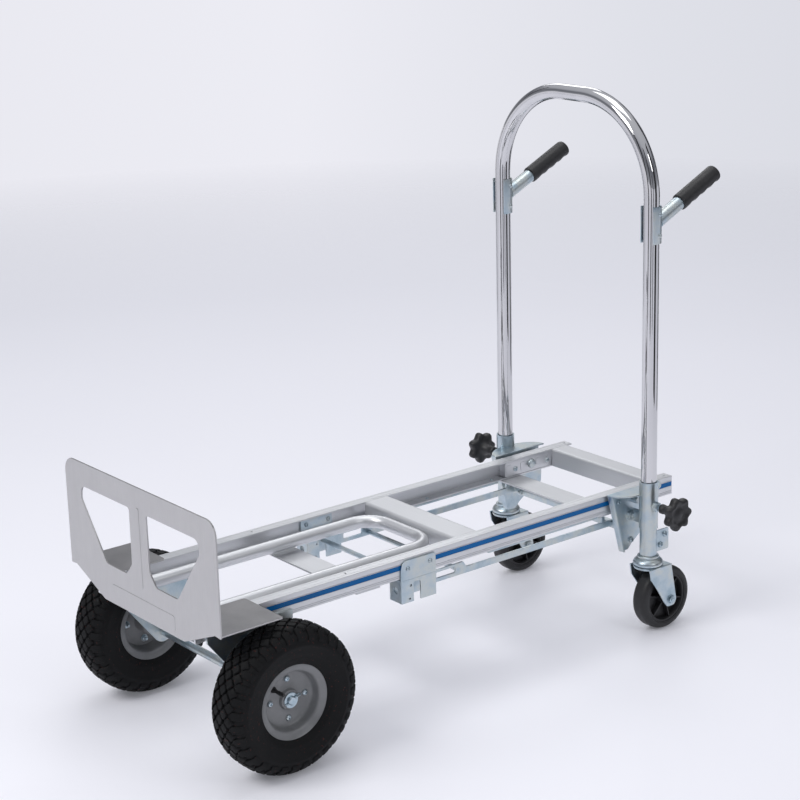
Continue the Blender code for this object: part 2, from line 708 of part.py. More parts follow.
def bracket_outline():
    """Side plate of a leg bracket: a front edge that leans back to its tip, and a lobe behind the leg."""
    leg = at(LEG_REACH)
    top = RAIL_TOP + BRACKET_RISE
    tip = CASTER_TOP + 0.029
    lobe = CASTER_TOP + 0.022
    return rounded([(leg - 0.066, top, 0), (leg + 0.050, top, 0.004), (leg + 0.050, RAIL_BOTTOM, 0.010),
                    (leg + 0.078, RAIL_BOTTOM - 0.016, 0.012), (leg + 0.078, lobe, 0.014),
                    (leg + 0.012, lobe, 0.010), (leg - 0.004, tip, 0.004), (leg - 0.034, tip - 0.001, 0.003)])


def leg_brackets():
    """Side plate, front flange, half-round ledge, collar, nut boss and rear strap of each folding bracket."""
    leg = at(LEG_REACH)
    top = RAIL_TOP + BRACKET_RISE
    tip = CASTER_TOP + 0.029
    flange_loop = [(leg - 0.066, top - 0.001), (leg - 0.061, top - 0.001),
                   (leg - 0.029, tip), (leg - 0.034, tip)]
    ledge_in = BRACKET_Y + 0.001
    ledge_arc = arc((leg, 0), LEG_Y - ledge_in + 0.0225, 0, 180, 14)
    low = PIVOT_Z - COLLAR_DOWN
    high = PIVOT_Z + COLLAR_UP
    strap_z = (CASTER_TOP + 0.033, CASTER_TOP + 0.070)
    strap_x = leg + COLLAR_OUT + 0.0070
    strap_y = LEG_Y + COLLAR_OUT + 0.0010
    for tag, side in SIDES:
        y = side * LEG_Y
        loops = [bracket_outline(), circle(leg, PIVOT_Z, BOLT_R + RUN)]
        middle = (0, side * (BRACKET_Y + BRACKET_T / 2), 0)
        plate = slab("leg_bracket_" + tag, loops, BRACKET_T, "Y", middle)
        middle = (0, side * (BRACKET_Y + 0.0065), 0)
        flange = slab("bracket_flange_" + tag, [flange_loop], 0.012, "Y", middle)
        ledge_loop = [(x, side * (ledge_in + reach * 0.62)) for x, reach in ledge_arc]
        ledge = slab("ledge_" + tag, [ledge_loop], 0.003, "Z", (0, 0, top - 0.0015))
        collar = rod("collar_" + tag, COLLAR_OUT, (leg, y, low), (leg, y, high), 24)
        boss = rod("boss_" + tag, HEX_R, (leg, side * (LEG_Y + COLLAR_IN + 0.001), PIVOT_Z),
                   (leg, side * (LEG_Y + COLLAR_OUT + 0.010), PIVOT_Z), 6)
        foot = box("foot_" + tag, (leg - 0.006, leg + 0.006),
                   (side * (BRACKET_Y + 0.001), side * (LEG_Y - COLLAR_IN - 0.001)),
                    (low + 0.003, low + 0.015))
        across = (side * (BRACKET_Y + 0.002), side * strap_y)
        strap = box("strap_" + tag, (strap_x, strap_x + 0.003), across, strap_z)
        across = (side * (strap_y - 0.0003), side * (strap_y + 0.003))
        ear = box("ear_" + tag, (leg - 0.010, strap_x + 0.0028), across,
                  (strap_z[0] + 0.0005, strap_z[1] - 0.0005))
        join(plate, flange, ledge, collar, boss, foot, strap, ear)
        bore = rod("collar_bore_" + tag, COLLAR_IN, (leg, y, low - 0.02), (leg, y, high + 0.02), 24)
        finish(cut(plate, bore, stud_hole("boss_bore_" + tag, side)), "zinc")
        leg_tube = rod("lower_leg_" + tag, LOWER_OUT, (leg, y, LOWER_LEG_Z), (leg, y, high - 0.001), 24)
        bore = rod("lower_bore_" + tag, LOWER_IN, (leg, y, LOWER_LEG_Z - 0.01), (leg, y, high + 0.01), 24)
        finish(cut(leg_tube, bore, stud_hole("lower_tap_" + tag, side)), "zinc")
        smooth(leg_tube)


def stud_hole(name, side):
    """Cutter for the clamping stud, from inside the leg to past the boss."""
    leg = at(LEG_REACH)
    start = (leg, side * (LEG_Y + 0.005), PIVOT_Z)
    return rod(name, STUD_R + RUN, start, (leg, side * (LEG_Y + 0.05), PIVOT_Z), 16)


def knobs():
    """Lobed star knobs on tapered stems, each on the stud that clamps the handle."""
    leg = at(LEG_REACH)
    stem = LEG_Y + COLLAR_OUT + 0.016
    head = stem + KNOB_STEM
    back = head + KNOB_T
    steps = KNOB_LOBES * 6
    lobes = []
    for i in range(steps):
        a = 2 * math.pi * i / steps
        r = KNOB_R - KNOB_WAVE * (1 - math.cos(KNOB_LOBES * a))
        lobes.append((leg + r * math.cos(a), PIVOT_Z + r * math.sin(a)))
    profile = [(0.0, head + 0.004), (0.015, head + 0.004), (0.015, head), (0.0098, head - 0.012),
               (0.0092, stem), (0.0, stem)]
    for tag, side in SIDES:
        knob = slab("knob_" + tag, [lobes], back - head, "Y", (0, side * (head + back) / 2, 0))
        cone = turned("knob_stem_" + tag, profile, 14, (leg, 0, PIVOT_Z), (0, side, 0), closed=False)
        hole = rod("knob_bore_" + tag, STUD_R + GAP, (leg, side * (stem - 0.01), PIVOT_Z),
                   (leg, side * (stem + STUD_DEPTH + GAP), PIVOT_Z), 16)
        finish(cut(join(knob, cone), hole), "plastic")
        stud = rod("stud_" + tag, STUD_R, (leg, side * (LEG_Y + HANDLE_R + 2 * GAP), PIVOT_Z),
                   (leg, side * (stem + STUD_DEPTH), PIVOT_Z), 14)
        finish(stud, "zinc")
        smooth(stud)


# ---------------------------------------------------------------- handle and grips
def handle():
    leg = at(LEG_REACH)
    shoulder = HANDLE_TOP_Z - HANDLE_BEND
    flat = LEG_Y - HANDLE_BEND
    turn = [math.radians(90) * i / 8 for i in range(9)]
    path = [(-LEG_Y, HANDLE_LOW_Z)]
    path += [(-flat - HANDLE_BEND * math.cos(a), shoulder + HANDLE_BEND * math.sin(a)) for a in turn]
    path += [(-y, z) for y, z in reversed(path)]
    tube = pipe("handle", [(leg, y, z) for y, z in path], HANDLE_R, 12, HANDLE_WALL)
    finish(tube, "chrome")
    smooth(tube)
    along = Vector((math.cos(GRIP_TILT), 0, math.sin(GRIP_TILT)))
    blind = [(STUB_R + GAP, GRIP_START), (STUB_R + GAP, STUB_END + GAP), (0.0, STUB_END + GAP)]
    profile = list(reversed(grip_profile()))[:-1] + blind
    for tag, side in SIDES:
        foot = Vector((leg, side * LEG_Y, GRIP_Z))
        up = Vector((0, 0, SLEEVE_UP))
        down = Vector((0, 0, -SLEEVE_DOWN))
        sleeve = rod("grip_clamp_" + tag, HANDLE_R + SLEEVE_WALL, foot + down, foot + up, 24)
        stub = rod("stub_" + tag, STUB_R, foot + along * 0.010, foot + along * STUB_END, 16)
        bore = rod("clamp_bore_" + tag, HANDLE_R + GAP, foot + down * 1.5, foot + up * 1.5, 24)
        finish(cut(join(sleeve, stub), bore), "zinc")
        grip = turned("grip_" + tag, profile, 20, foot, along, closed=False)
        finish(grip, "rubber")
        smooth(grip, 50)


# ---------------------------------------------------------------- casters
def caster(tag, side):
    leg = at(LEG_REACH)
    y = side * LEG_Y
    axle_x = leg + CASTER_TRAIL
    top = CASTER_TOP + CUP_H
    neck = LOWER_IN - 2 * GAP
    base = CASTER_TOP + 2 * GAP
    cup_profile = [(0.0, top + NECK_H), (neck - 0.001, top + NECK_H), (neck, top + NECK_H - 0.002),
                   (neck, top), (CASTER_HEAD - 0.006, top), (CASTER_HEAD - 0.004, top - 0.005),
                   (CASTER_HEAD, top - 0.011), (CASTER_HEAD, top - 0.016),
                   (CASTER_HEAD - 0.002, base), (0.0, base)]
    cup = turned("caster_cup_" + tag, cup_profile, 20, (leg, y, 0), (0, 0, 1), closed=False)
    finish(cup, "zinc")
    smooth(cup)
    inside = CASTER_W / 2 + FORK_SIDE
    outside = inside + FORK_T
    head_z = CASTER_TOP - 0.0005
    front = axle_x + 0.001
    crown = arc((leg, y), CASTER_HEAD - 0.001, 62, 298, 14)
    crown += [(front, y - outside), (front, y + outside)]
    fork = slab("fork_" + tag, [crown], 0.003, "Z", (0, 0, head_z - 0.0015))
    outline = [(leg - 0.014, head_z - 0.001), (front, head_z - 0.001)]
    outline += arc((axle_x, CASTER_R), 0.0132, 10, -190, 10)
    outline += [(leg - 0.001, CASTER_R + 0.026), (leg - 0.014, CASTER_R + 0.050)]
    loops = [outline, circle(axle_x, CASTER_R, CASTER_PIN_R + GAP, 12)]
    for hand in (1, -1):
        arm = slab("arm_%s_%d" % (tag, hand), loops, FORK_T, "Y", (0, y + hand * (inside + FORK_T / 2), 0))
        join(fork, arm)
    finish(fork, "zinc")
    hub = (axle_x, y, CASTER_R)
    half = CASTER_W / 2
    tread = [(CASTER_R, half * 0.55), (CASTER_R - 0.0012, half * 0.82), (CASTER_R - 0.004, half),
             (CASTER_R - CASTER_RUBBER, half)]
    tyre = turned("caster_tyre_" + tag, tread + mirrored(tread), CASTER_FACETS, hub, (0, 1, 0))
    finish(tyre, "rubber")
    smooth(tyre)
    seat = CASTER_R - CASTER_RUBBER - GAP
    bore = CASTER_PIN_R + RUN
    half_core = [(bore, half + 0.003), (0.014, half + 0.003), (0.015, 0.004), (seat - 0.006, 0.004),
                 (seat - 0.004, half - 0.002), (seat, half - 0.002)]
    core = turned("caster_core_" + tag, half_core + mirrored(half_core), CASTER_FACETS, hub, (0, 1, 0))
    finish(core, "plastic")
    smooth(core)
    head = 0.0072
    out = outside + GAP
    half_bolt = [(0.0, out + 0.0045), (head, out + 0.0045), (head, out), (CASTER_PIN_R, out)]
    bolt = turned("caster_bolt_" + tag, half_bolt + mirrored(half_bolt), 12, hub, (0, 1, 0), closed=False)
    finish(bolt, "zinc")


def mirrored(profile):
    """The other half of a turned profile, in running order."""
    return [(r, -s) for r, s in reversed(profile)]


# ---------------------------------------------------------------- moving pieces hang on their joint axes
def hang(name, location, pieces, parent=None):
    """Empty on a joint's axis that carries the pieces which move with it."""
    empty = bpy.data.objects.new(name, None)
    empty.empty_display_size = 0.05
    truck.objects.link(empty)
    empty.location = location
    bpy.context.view_layer.update()
    for child in [truck.objects[piece] for piece in pieces]:
        child.parent = empty
        child.matrix_parent_inverse = empty.matrix_world.inverted()
    if parent is not None:
        empty.parent = parent
        empty.matrix_parent_inverse = parent.matrix_world.inverted()
    return empty


def both(*names):
    return [name + tag for name in names for tag in ("l", "r")]


def hang_all():
    leg = at(LEG_REACH)
    hang("toe_axis", (at(TOE_HINGE), 0, TOE_Z), ["toe_bar"])
    hang("latch_axis", (at(LATCH_AT[1]), 0, LATCH_Z), ["latch_frame"])
    fold = hang("fold_axis", (leg, 0, PIVOT_Z), both("leg_bracket_", "lower_leg_", "caster_cup_"))
    hang("handle_axis", (leg, 0, PIVOT_Z), ["handle"] + both("grip_clamp_", "grip_"), fold)
    for tag, side in SIDES:
        y = side * LEG_Y
        wheel = ["tyre_" + tag, "rim_" + tag, "valve_" + tag]
        hang("wheel_axis_" + tag, (at(0), side * WHEEL_Y, WHEEL_R), wheel)
        stud = hang("stud_axis_" + tag, (leg, y, PIVOT_Z), ["stud_" + tag], fold)
        hang("knob_axis_" + tag, (leg, y, PIVOT_Z), ["knob_" + tag], stud)
        swivel = hang("swivel_axis_" + tag, (leg, y, CASTER_TOP), ["fork_" + tag, "caster_bolt_" + tag], fold)
        wheel = ["caster_tyre_" + tag, "caster_core_" + tag]
        hang("caster_axis_" + tag, (leg + CASTER_TRAIL, y, CASTER_R), wheel, swivel)


rails()
crossmembers()
nose_plate()
toe_bar()
axle_and_brackets()
main_wheels()
mid_brackets()
latch_frame()
fold_joint()
leg_brackets()
knobs()
handle()
for caster_tag, caster_side in SIDES:
    caster(caster_tag, caster_side)
hang_all()
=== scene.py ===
# %% [markdown]
# # A convertible hand truck
# Two aluminium rails carry a nose plate and two pneumatic wheels at one end, and a folding U handle on
# swivel casters at the other. The frame that is loaded here says where every part is and how it moves,
# but its shapes are plain. Each step below gives one part its real shape and finish.
# Places are read from the frame, so a part always lands where its plain twin sits.

# %% Load the frame
import math

import bmesh
import bpy
from mathutils import Matrix, Vector


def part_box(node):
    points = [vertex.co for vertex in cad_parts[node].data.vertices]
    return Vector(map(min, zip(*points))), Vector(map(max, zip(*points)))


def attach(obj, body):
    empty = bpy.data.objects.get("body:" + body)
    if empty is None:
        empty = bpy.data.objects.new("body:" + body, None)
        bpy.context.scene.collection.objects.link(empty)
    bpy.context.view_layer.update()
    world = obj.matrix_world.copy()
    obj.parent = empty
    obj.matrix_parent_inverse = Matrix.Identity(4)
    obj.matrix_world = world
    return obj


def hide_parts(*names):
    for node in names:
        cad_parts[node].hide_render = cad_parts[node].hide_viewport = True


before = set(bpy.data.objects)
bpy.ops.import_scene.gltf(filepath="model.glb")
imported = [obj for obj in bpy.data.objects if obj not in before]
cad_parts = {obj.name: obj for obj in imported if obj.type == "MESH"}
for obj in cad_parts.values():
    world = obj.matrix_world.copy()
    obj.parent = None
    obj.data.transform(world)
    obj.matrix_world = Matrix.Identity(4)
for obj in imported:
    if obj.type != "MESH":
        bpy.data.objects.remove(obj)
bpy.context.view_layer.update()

# %% [markdown]
# ## Places
# A truck is easiest to describe from its axle: the nose plate is 0.13 m in front of it and the handle
# 0.86 m behind. The helper below turns such a distance into a place in the frame, and the other values
# are the corners of the parts that later steps line up with.

# %% Places read from the frame
SIDES = (("l", 1), ("r", -1))


def middle(node):
    low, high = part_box(node)
    return (low + high) / 2


AXLE = middle("axle")
RAIL_LOW, RAIL_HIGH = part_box("rail_l")
LEG = middle("lower_leg_l")
PIVOT_Z = middle("pivot_bolt_l").z
HANDLE_LOW, HANDLE_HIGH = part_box("handle")
HANDLE_R = HANDLE_HIGH.y - LEG.y
LEG_Y = abs(LEG.y)


def at(x):
    """Frame x of a place given as a distance behind the axle."""
    return AXLE.x + x


print("axle", AXLE, "leg", LEG, "handle radius", round(HANDLE_R, 4))

# %% [markdown]
# ## Camera
# The truck is seen from its nose corner, a little above the deck, through a long lens. A long lens from
# far away keeps the two rails nearly parallel. The camera is placed from the axle, so it follows the frame.

# %% Camera
CAMERA_FROM_AXLE = Vector((-1.73637, -2.74851, 1.53643))
CAMERA_RIGHT = Vector((0.78073, -0.62437, -0.02486)).normalized()
CAMERA_BACK = Vector((-0.59360, -0.75330, 0.28306)).normalized()
CAMERA_UP = CAMERA_BACK.cross(CAMERA_RIGHT)
LENS_MM = 91.42

camera = bpy.data.objects.new("camera", bpy.data.cameras.new("camera"))
bpy.context.scene.collection.objects.link(camera)
turn = Matrix((CAMERA_RIGHT, CAMERA_UP, CAMERA_BACK)).transposed().to_4x4()
camera.matrix_world = Matrix.Translation(CAMERA_FROM_AXLE + Vector((AXLE.x, 0, 0))) @ turn
camera.data.lens = LENS_MM
camera.data.sensor_width = 36
bpy.context.scene.camera = camera
print("the camera is", round((camera.location - AXLE).length, 2), "m from the axle")

# %% [markdown]
# ## Shader maths
# A procedural finish is a formula over the surface. Written as nodes it is hard to read, so this small
# class wraps a shader output and lets Python's own operators add the Math nodes. Colours go through a
# Mix node, because a Math node would turn them grey.

# %% Signals and finishes


class Signal:
    """A shader output that works in a Python expression."""

    def __init__(self, output):
        self.output = output

    def maths(self, operation, first, second=0.0):
        tree = self.output.id_data
        made = tree.nodes.new("ShaderNodeMath")
        made.operation = operation
        for socket, value in zip(made.inputs, (first, second)):
            feed(socket, value)
        return Signal(made.outputs[0])

    def __add__(self, other):
        return self.maths("ADD", self, other)

    def __rsub__(self, other):
        return self.maths("SUBTRACT", other, self)

    def __mul__(self, other):
        return self.maths("MULTIPLY", self, other)

    __radd__ = __add__
    __rmul__ = __mul__

    def over(self, edge):
        return self.maths("GREATER_THAN", self, edge)


def feed(socket, value):
    """Links a signal to a socket, or sets a plain value on it."""
    if isinstance(value, Signal):
        socket.id_data.links.new(value.output, socket)
    else:
        socket.default_value = value


# a Mix node's colour sockets, which share their names with its other kinds of sockets
MIX_A, MIX_B, MIX_RESULT = 6, 7, 2


class Nodes:
    """A node tree, and one way to add any node to it."""

    def __init__(self, tree):
        self.tree = tree

    def node(self, kind, settings=None, inputs=None, output=0):
        """Any other node: its type, its settings, its sockets' values or links, and the output wanted."""
        made = self.tree.nodes.new("ShaderNode" + kind)
        for name, value in (settings or {}).items():
            if name == "stops":
                ramp = made.color_ramp
                while len(ramp.elements) < len(value):
                    ramp.elements.new(0.5)
                for element, (place, colour) in zip(ramp.elements, value):
                    element.position = place
                    element.color = (*colour, 1)
            else:
                setattr(made, name, value)
        for name, value in (inputs or {}).items():
            feed(made.inputs[name], value)
        return Signal(made.outputs[output])

    def ramp(self, share, *stops):
        """Colour read from a ramp of (place, colour) stops."""
        return self.node("ValToRGB", {"stops": stops}, {"Fac": share})

    def blend(self, share, low, high):
        """Colour between low and high."""
        low, high = [(*colour, 1) if isinstance(colour, tuple) else colour for colour in (low, high)]
        return self.node("Mix", {"data_type": "RGBA"}, {"Factor": share, MIX_A: low, MIX_B: high},
                         MIX_RESULT)


class Finish(Nodes):
    """A material with a Principled shader, and the nodes that vary it over the surface."""

    def __init__(self, name, colour, metallic, roughness, **plain):
        self.material = bpy.data.materials.new(name)
        self.material.use_nodes = True
        super().__init__(self.material.node_tree)
        self.shader = self.tree.nodes["Principled BSDF"]
        self.set("Base Color", (*colour, 1))
        self.set("Metallic", metallic)
        self.set("Roughness", roughness)
        for socket, value in plain.items():
            self.set(socket, value)

    def set(self, socket, value):
        feed(self.shader.inputs[socket], value)

    def place(self, scale=(1, 1, 1)):
        """The surface's own position, stretched by scale."""
        here = self.node("TexCoord", output="Object")
        return self.node("VectorMath", {"operation": "MULTIPLY"}, {0: here, 1: scale})

    def noise(self, size, stretch=(1, 1, 1), detail=3.0, roughness=0.55):
        """Noise whose grains are about size metres across, drawn out where stretch is below 1."""
        inputs = {"Vector": self.place(stretch), "Scale": 1 / size, "Detail": detail,
                  "Roughness": roughness}
        return self.node("TexNoise", None, inputs)

    def bump(self, height, depth):
        """Relief of a height from 0 to 1 that is depth metres deep."""
        self.set("Normal", self.node("Bump", None, {"Height": height, "Strength": 1.0, "Distance": depth}))


print("signals and finishes are ready")

# %% [markdown]
# ## Shape makers
# Nearly every part here is one of three things: a skin over a row of rings (turned wheels, bent tubes,
# moulded knobs), a cut and folded sheet, or a small fastener. So three makers do most of the work. Rings
# are built straight into a bmesh, because that gives full control of every edge loop. Sheets start as a
# filled 2D curve, whose small bevel gives the soft edge that real sheet metal always has.

# %% Rings, tubes and turned shapes


def skin(rings, closed=False):
    """Mesh over rings of points of one count, capped at both ends unless the last ring meets the first."""
    form = bmesh.new()
    rows = [[form.verts.new(point) for point in ring] for ring in rings]
    count = len(rows[0])
    pairs = list(zip(rows, rows[1:])) + ([(rows[-1], rows[0])] if closed else [])
    for low, high in pairs:
        for i in range(count):
            j = (i + 1) % count
            form.faces.new((low[i], low[j], high[j], high[i]))
    if not closed:
        form.faces.new(list(reversed(rows[0])))
        form.faces.new(rows[-1])
    bmesh.ops.remove_doubles(form, verts=form.verts, dist=1e-6)
    bmesh.ops.dissolve_degenerate(form, edges=form.edges, dist=1e-6)
    bmesh.ops.recalc_face_normals(form, faces=form.faces)
    return as_mesh(form)


def as_mesh(form):
    mesh = bpy.data.meshes.new("form")
    form.to_mesh(mesh)
    form.free()
    return mesh


def turned(profile, segments=48, closed=False):
    """Shape turned about the local Z axis from a profile of (radius, height)."""
    steps = [2 * math.pi * i / segments for i in range(segments)]
    rings = [[(max(r, 1e-7) * math.cos(a), max(r, 1e-7) * math.sin(a), z) for a in steps]
             for r, z in profile]
    return skin(rings, closed)


def mirrored(profile):
    """The other half of a profile of (radius, height), in running order."""
    return [(radius, -height) for radius, height in reversed(profile)]


def frames_along(path):
    """A turning frame at each point of a path that does not twist."""
    path = [Vector(point) for point in path]
    count = len(path)
    tangents = [(path[min(i + 1, count - 1)] - path[max(i - 1, 0)]).normalized() for i in range(count)]
    across = tangents[0].orthogonal().normalized()
    made = []
    for point, tangent in zip(path, tangents):
        across = (across - tangent * across.dot(tangent)).normalized()
        made.append((point, across, tangent.cross(across)))
    return made


def tube(path, radius, sides=32):
    steps = [2 * math.pi * i / sides for i in range(sides)]
    return skin([[point + radius * (a * math.cos(t) + b * math.sin(t)) for t in steps]
                 for point, a, b in frames_along(path)])


def pole(x, y, low, high, radius):
    """Upright round bar."""
    return tube([(x, y, z) for z in (low, (low + high) / 2, high)], radius, 48)


def bend(centre, radius, start, end, count=16):
    """Points of an arc in a plane, angles in degrees."""
    steps = [math.radians(start + (end - start) * i / count) for i in range(count + 1)]
    return [(centre[0] + radius * math.cos(a), centre[1] + radius * math.sin(a)) for a in steps]


# %% [markdown]
# A sheet is cut as a flat outline and then folded or bolted on. So its maker takes corners with a radius
# each, fills the outline as a 2D curve, and lays it flat or stands it up along X or Y.

# %% Sheets
UPRIGHT_Y = Matrix(((1, 0, 0, 0), (0, 0, -1, 0), (0, 1, 0, 0), (0, 0, 0, 1)))
UPRIGHT_X = Matrix(((0, 0, 1, 0), (1, 0, 0, 0), (0, 1, 0, 0), (0, 0, 0, 1)))
FLAT = Matrix.Identity(4)


def softened(corners, steps=5):
    """Outline from (x, y, radius) corners, each rounded by its radius."""
    outline = []
    for i, (x, y, radius) in enumerate(corners):
        here = Vector((x, y))
        if radius < 1e-6:
            outline.append((x, y))
            continue
        before = (Vector(corners[i - 1][:2]) - here)
        after = (Vector(corners[(i + 1) % len(corners)][:2]) - here)
        half = before.angle(after) / 2
        reach = min(radius / math.tan(half), before.length * 0.49, after.length * 0.49)
        radius = reach * math.tan(half)
        middle_way = (before.normalized() + after.normalized()).normalized()
        centre = here + middle_way * (radius / math.sin(half))
        start = here + before.normalized() * reach - centre
        end = here + after.normalized() * reach - centre
        sweep = start.angle_signed(end)
        for k in range(steps + 1):
            swing = Matrix.Rotation(-sweep * k / steps, 2)
            outline.append(tuple(centre + swing @ start))
    return outline


def box_loop(x0, y0, x1, y1, radius):
    """Rectangle with its corners rounded."""
    return softened([(x0, y0, radius), (x1, y0, radius), (x1, y1, radius), (x0, y1, radius)])


def sheet(outline, thickness, lie=FLAT, place=(0, 0, 0), holes=(), edge=0.0004):
    """Flat sheet with softly rounded edges, its outline in the local XY plane, thickness along Z."""
    curve = bpy.data.curves.new("sheet", "CURVE")
    curve.dimensions = "2D"
    curve.fill_mode = "BOTH"
    curve.bevel_depth = edge
    curve.bevel_resolution = 1
    curve.offset = -edge
    curve.extrude = thickness / 2 - edge
    for loop in (outline, *holes):
        spline = curve.splines.new("POLY")
        spline.points.add(len(loop) - 1)
        for point, (x, y) in zip(spline.points, loop):
            point.co = (x, y, 0, 1)
        spline.use_cyclic_u = True
    made = bpy.data.objects.new("sheet", curve)
    bpy.context.scene.collection.objects.link(made)
    bpy.context.view_layer.update()
    mesh = bpy.data.meshes.new_from_object(made)
    bpy.data.objects.remove(made)
    bpy.data.curves.remove(curve)
    mesh.transform(Matrix.Translation(Vector(place)) @ lie)
    return mesh


def ring_of(x, y, radius, count=20):
    steps = [2 * math.pi * i / count for i in range(count)]
    return [(x + radius * math.cos(a), y + radius * math.sin(a)) for a in steps]


print("sheet makers are ready")

# %% [markdown]
# Pieces that are welded or riveted together become one mesh, and holes are drilled with a cutter. Showing a
# piece gives it its finish, hangs it on its moving body and retires the plain node it stands for.

# %% Joining, cutting and showing


def placed(mesh, place, axis=(0, 0, 1), spin=0.0):
    """Mesh moved so that its local Z points along axis at place."""
    tilt = Vector((0, 0, 1)).rotation_difference(Vector(axis)).to_matrix().to_4x4()
    mesh.transform(Matrix.Translation(Vector(place)) @ tilt @ Matrix.Rotation(spin, 4, "Z"))
    return mesh


def together(*meshes):
    """One mesh from several."""
    form = bmesh.new()
    for mesh in meshes:
        form.from_mesh(mesh)
        bpy.data.meshes.remove(mesh)
    return as_mesh(form)


def drilled(mesh, *cutters):
    """Mesh with each cutter's shape taken out of it."""
    form = bpy.data.objects.new("drilled", mesh)
    bpy.context.scene.collection.objects.link(form)
    tools = []
    for cutter in cutters:
        tool = bpy.data.objects.new("drill", cutter)
        bpy.context.scene.collection.objects.link(tool)
        cut = form.modifiers.new("cut", "BOOLEAN")
        cut.operation = "DIFFERENCE"
        cut.object = tool
        tools.append(tool)
    bpy.context.view_layer.update()
    done = bpy.data.meshes.new_from_object(form.evaluated_get(bpy.context.evaluated_depsgraph_get()))
    for extra in (form, *tools):
        bpy.data.objects.remove(extra)
    return done


def show(name, mesh, finish, body, stands_for=(), sharp=35):
    """Shows a mesh in a finish, on a body of the frame, in the place of the plain nodes it stands for."""
    mesh.shade_smooth()
    mesh.set_sharp_from_angle(angle=math.radians(sharp))
    mesh.materials.clear()
    mesh.materials.append(finish.material)
    made = bpy.data.objects.new(name, mesh)
    bpy.context.scene.collection.objects.link(made)
    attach(made, body)
    if stands_for:
        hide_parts(*stands_for)
    print(name, "has", len(mesh.polygons), "faces")
    return made


def keep(finish, *nodes):
    """Leaves plain nodes whose shape is right, in a better finish."""
    for node in nodes:
        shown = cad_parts[node]
        shown.data.materials.clear()
        shown.data.materials.append(finish.material)


# %% [markdown]
# ## Fasteners
# The truck is held together by a few kinds of zinc fastener: pan screws with a driver recess, hex nuts on
# a bolt end, and domed rivets. Each is a short profile of rings. A hex head is the same ring idea with
# six sides, and its outer rings shrink a little so that light catches the chamfer.

# %% Fasteners


def pan_head(radius, height):
    """Domed screw head with a round driver recess."""
    return turned([(0, height * 0.45), (radius * 0.30, height * 0.45), (radius * 0.36, height * 0.98),
                   (radius * 0.62, height * 0.93), (radius * 0.86, height * 0.66), (radius, height * 0.2),
                   (radius, -height * 0.3), (0, -height * 0.3)], 20)


def rivet(radius, height):
    return turned([(0, height), (radius * 0.45, height * 0.92), (radius * 0.8, height * 0.6), (radius, 0.0),
                   (radius, -height * 0.3), (0, -height * 0.3)], 16)


def hex_nut(radius, height, bolt=0.0):
    """Hex nut on a washer, with the end of its bolt standing out by bolt."""
    body = turned([(0, height), (radius * 0.80, height), (radius, height * 0.86), (radius, 0), (0, 0)], 6)
    washer = turned([(0, height * 0.14), (radius * 1.16, height * 0.14), (radius * 1.2, height * 0.08),
                     (radius * 1.2, -height * 0.1), (0, -height * 0.1)], 28)
    if not bolt:
        return together(body, washer)
    core = radius * 0.5
    end = turned([(0, height + bolt), (core * 0.8, height + bolt), (core, height + bolt - core * 0.2),
                  (core, height * 0.5), (0, height * 0.5)], 16)
    return together(body, washer, end)


print("fasteners: pan head, rivet and hex nut")

# %% [markdown]
# ## Metal finishes
# Extruded aluminium is drawn through a die, so its anodised skin carries fine lines along its length and
# a soft, milky shine. The lines are noise stretched hard along X, mixed into the colour and the roughness
# so that they show both in flat light and in reflections.

# %% Aluminium
aluminium = Finish("satin_aluminium", (0.80, 0.81, 0.83), 0.85, 0.36)
die_lines = aluminium.noise(0.0012, (0.02, 1, 1), 2)
clouds = aluminium.noise(0.06, (0.4, 1, 1), 3)
aluminium.set("Base Color",
              aluminium.blend(die_lines * 0.5 + clouds * 0.5, (0.58, 0.59, 0.61), (0.80, 0.81, 0.83)))
aluminium.set("Roughness", 0.26 + die_lines * 0.12 + clouds * 0.14)
aluminium.bump(die_lines, 0.00003)

crosswise = Finish("satin_aluminium_across", (0.78, 0.79, 0.81), 0.8, 0.4)
lines = crosswise.noise(0.0012, (1, 0.02, 1), 2)
clouds = crosswise.noise(0.05, (1, 0.4, 1), 3)
crosswise.set("Base Color",
              crosswise.blend(lines * 0.5 + clouds * 0.5, (0.56, 0.57, 0.59), (0.72, 0.73, 0.75)))
crosswise.set("Roughness", 0.32 + lines * 0.12 + clouds * 0.14)
crosswise.bump(lines, 0.00004)

nose_sheet = Finish("brushed_nose_sheet", (0.66, 0.66, 0.67), 0.75, 0.42)
grain = nose_sheet.noise(0.0011, (1, 1, 0.03), 2)
mottle = nose_sheet.noise(0.035, (1, 1, 0.6), 4)
# Faces that point up, chiefly the flange tops, are coloured darker than the upright plate: painted shade, not
# a second finish.
upward = nose_sheet.node("SeparateXYZ", None, {0: nose_sheet.node("NewGeometry", output="Normal")}, 2)
plate_tone = nose_sheet.blend(grain * 0.45 + mottle * 0.55, (0.46, 0.455, 0.46), (0.64, 0.635, 0.64))
flange_painted_shade = nose_sheet.blend(mottle, (0.20, 0.20, 0.205), (0.34, 0.335, 0.34))
nose_sheet.set("Base Color", nose_sheet.blend(upward.over(0.6), plate_tone, flange_painted_shade))
nose_sheet.set("Roughness", 0.36 + grain * 0.1 + mottle * 0.14)
nose_sheet.bump(grain, 0.00003)

# %% [markdown]
# Zinc plate is bluish and slightly milky, and the passivation on it drifts between blue, straw and pink.
# The drift is broad noise fed to a colour ramp. Chrome has no grain at all: nearly a mirror, with only a
# faint change of roughness where hands have wiped it.

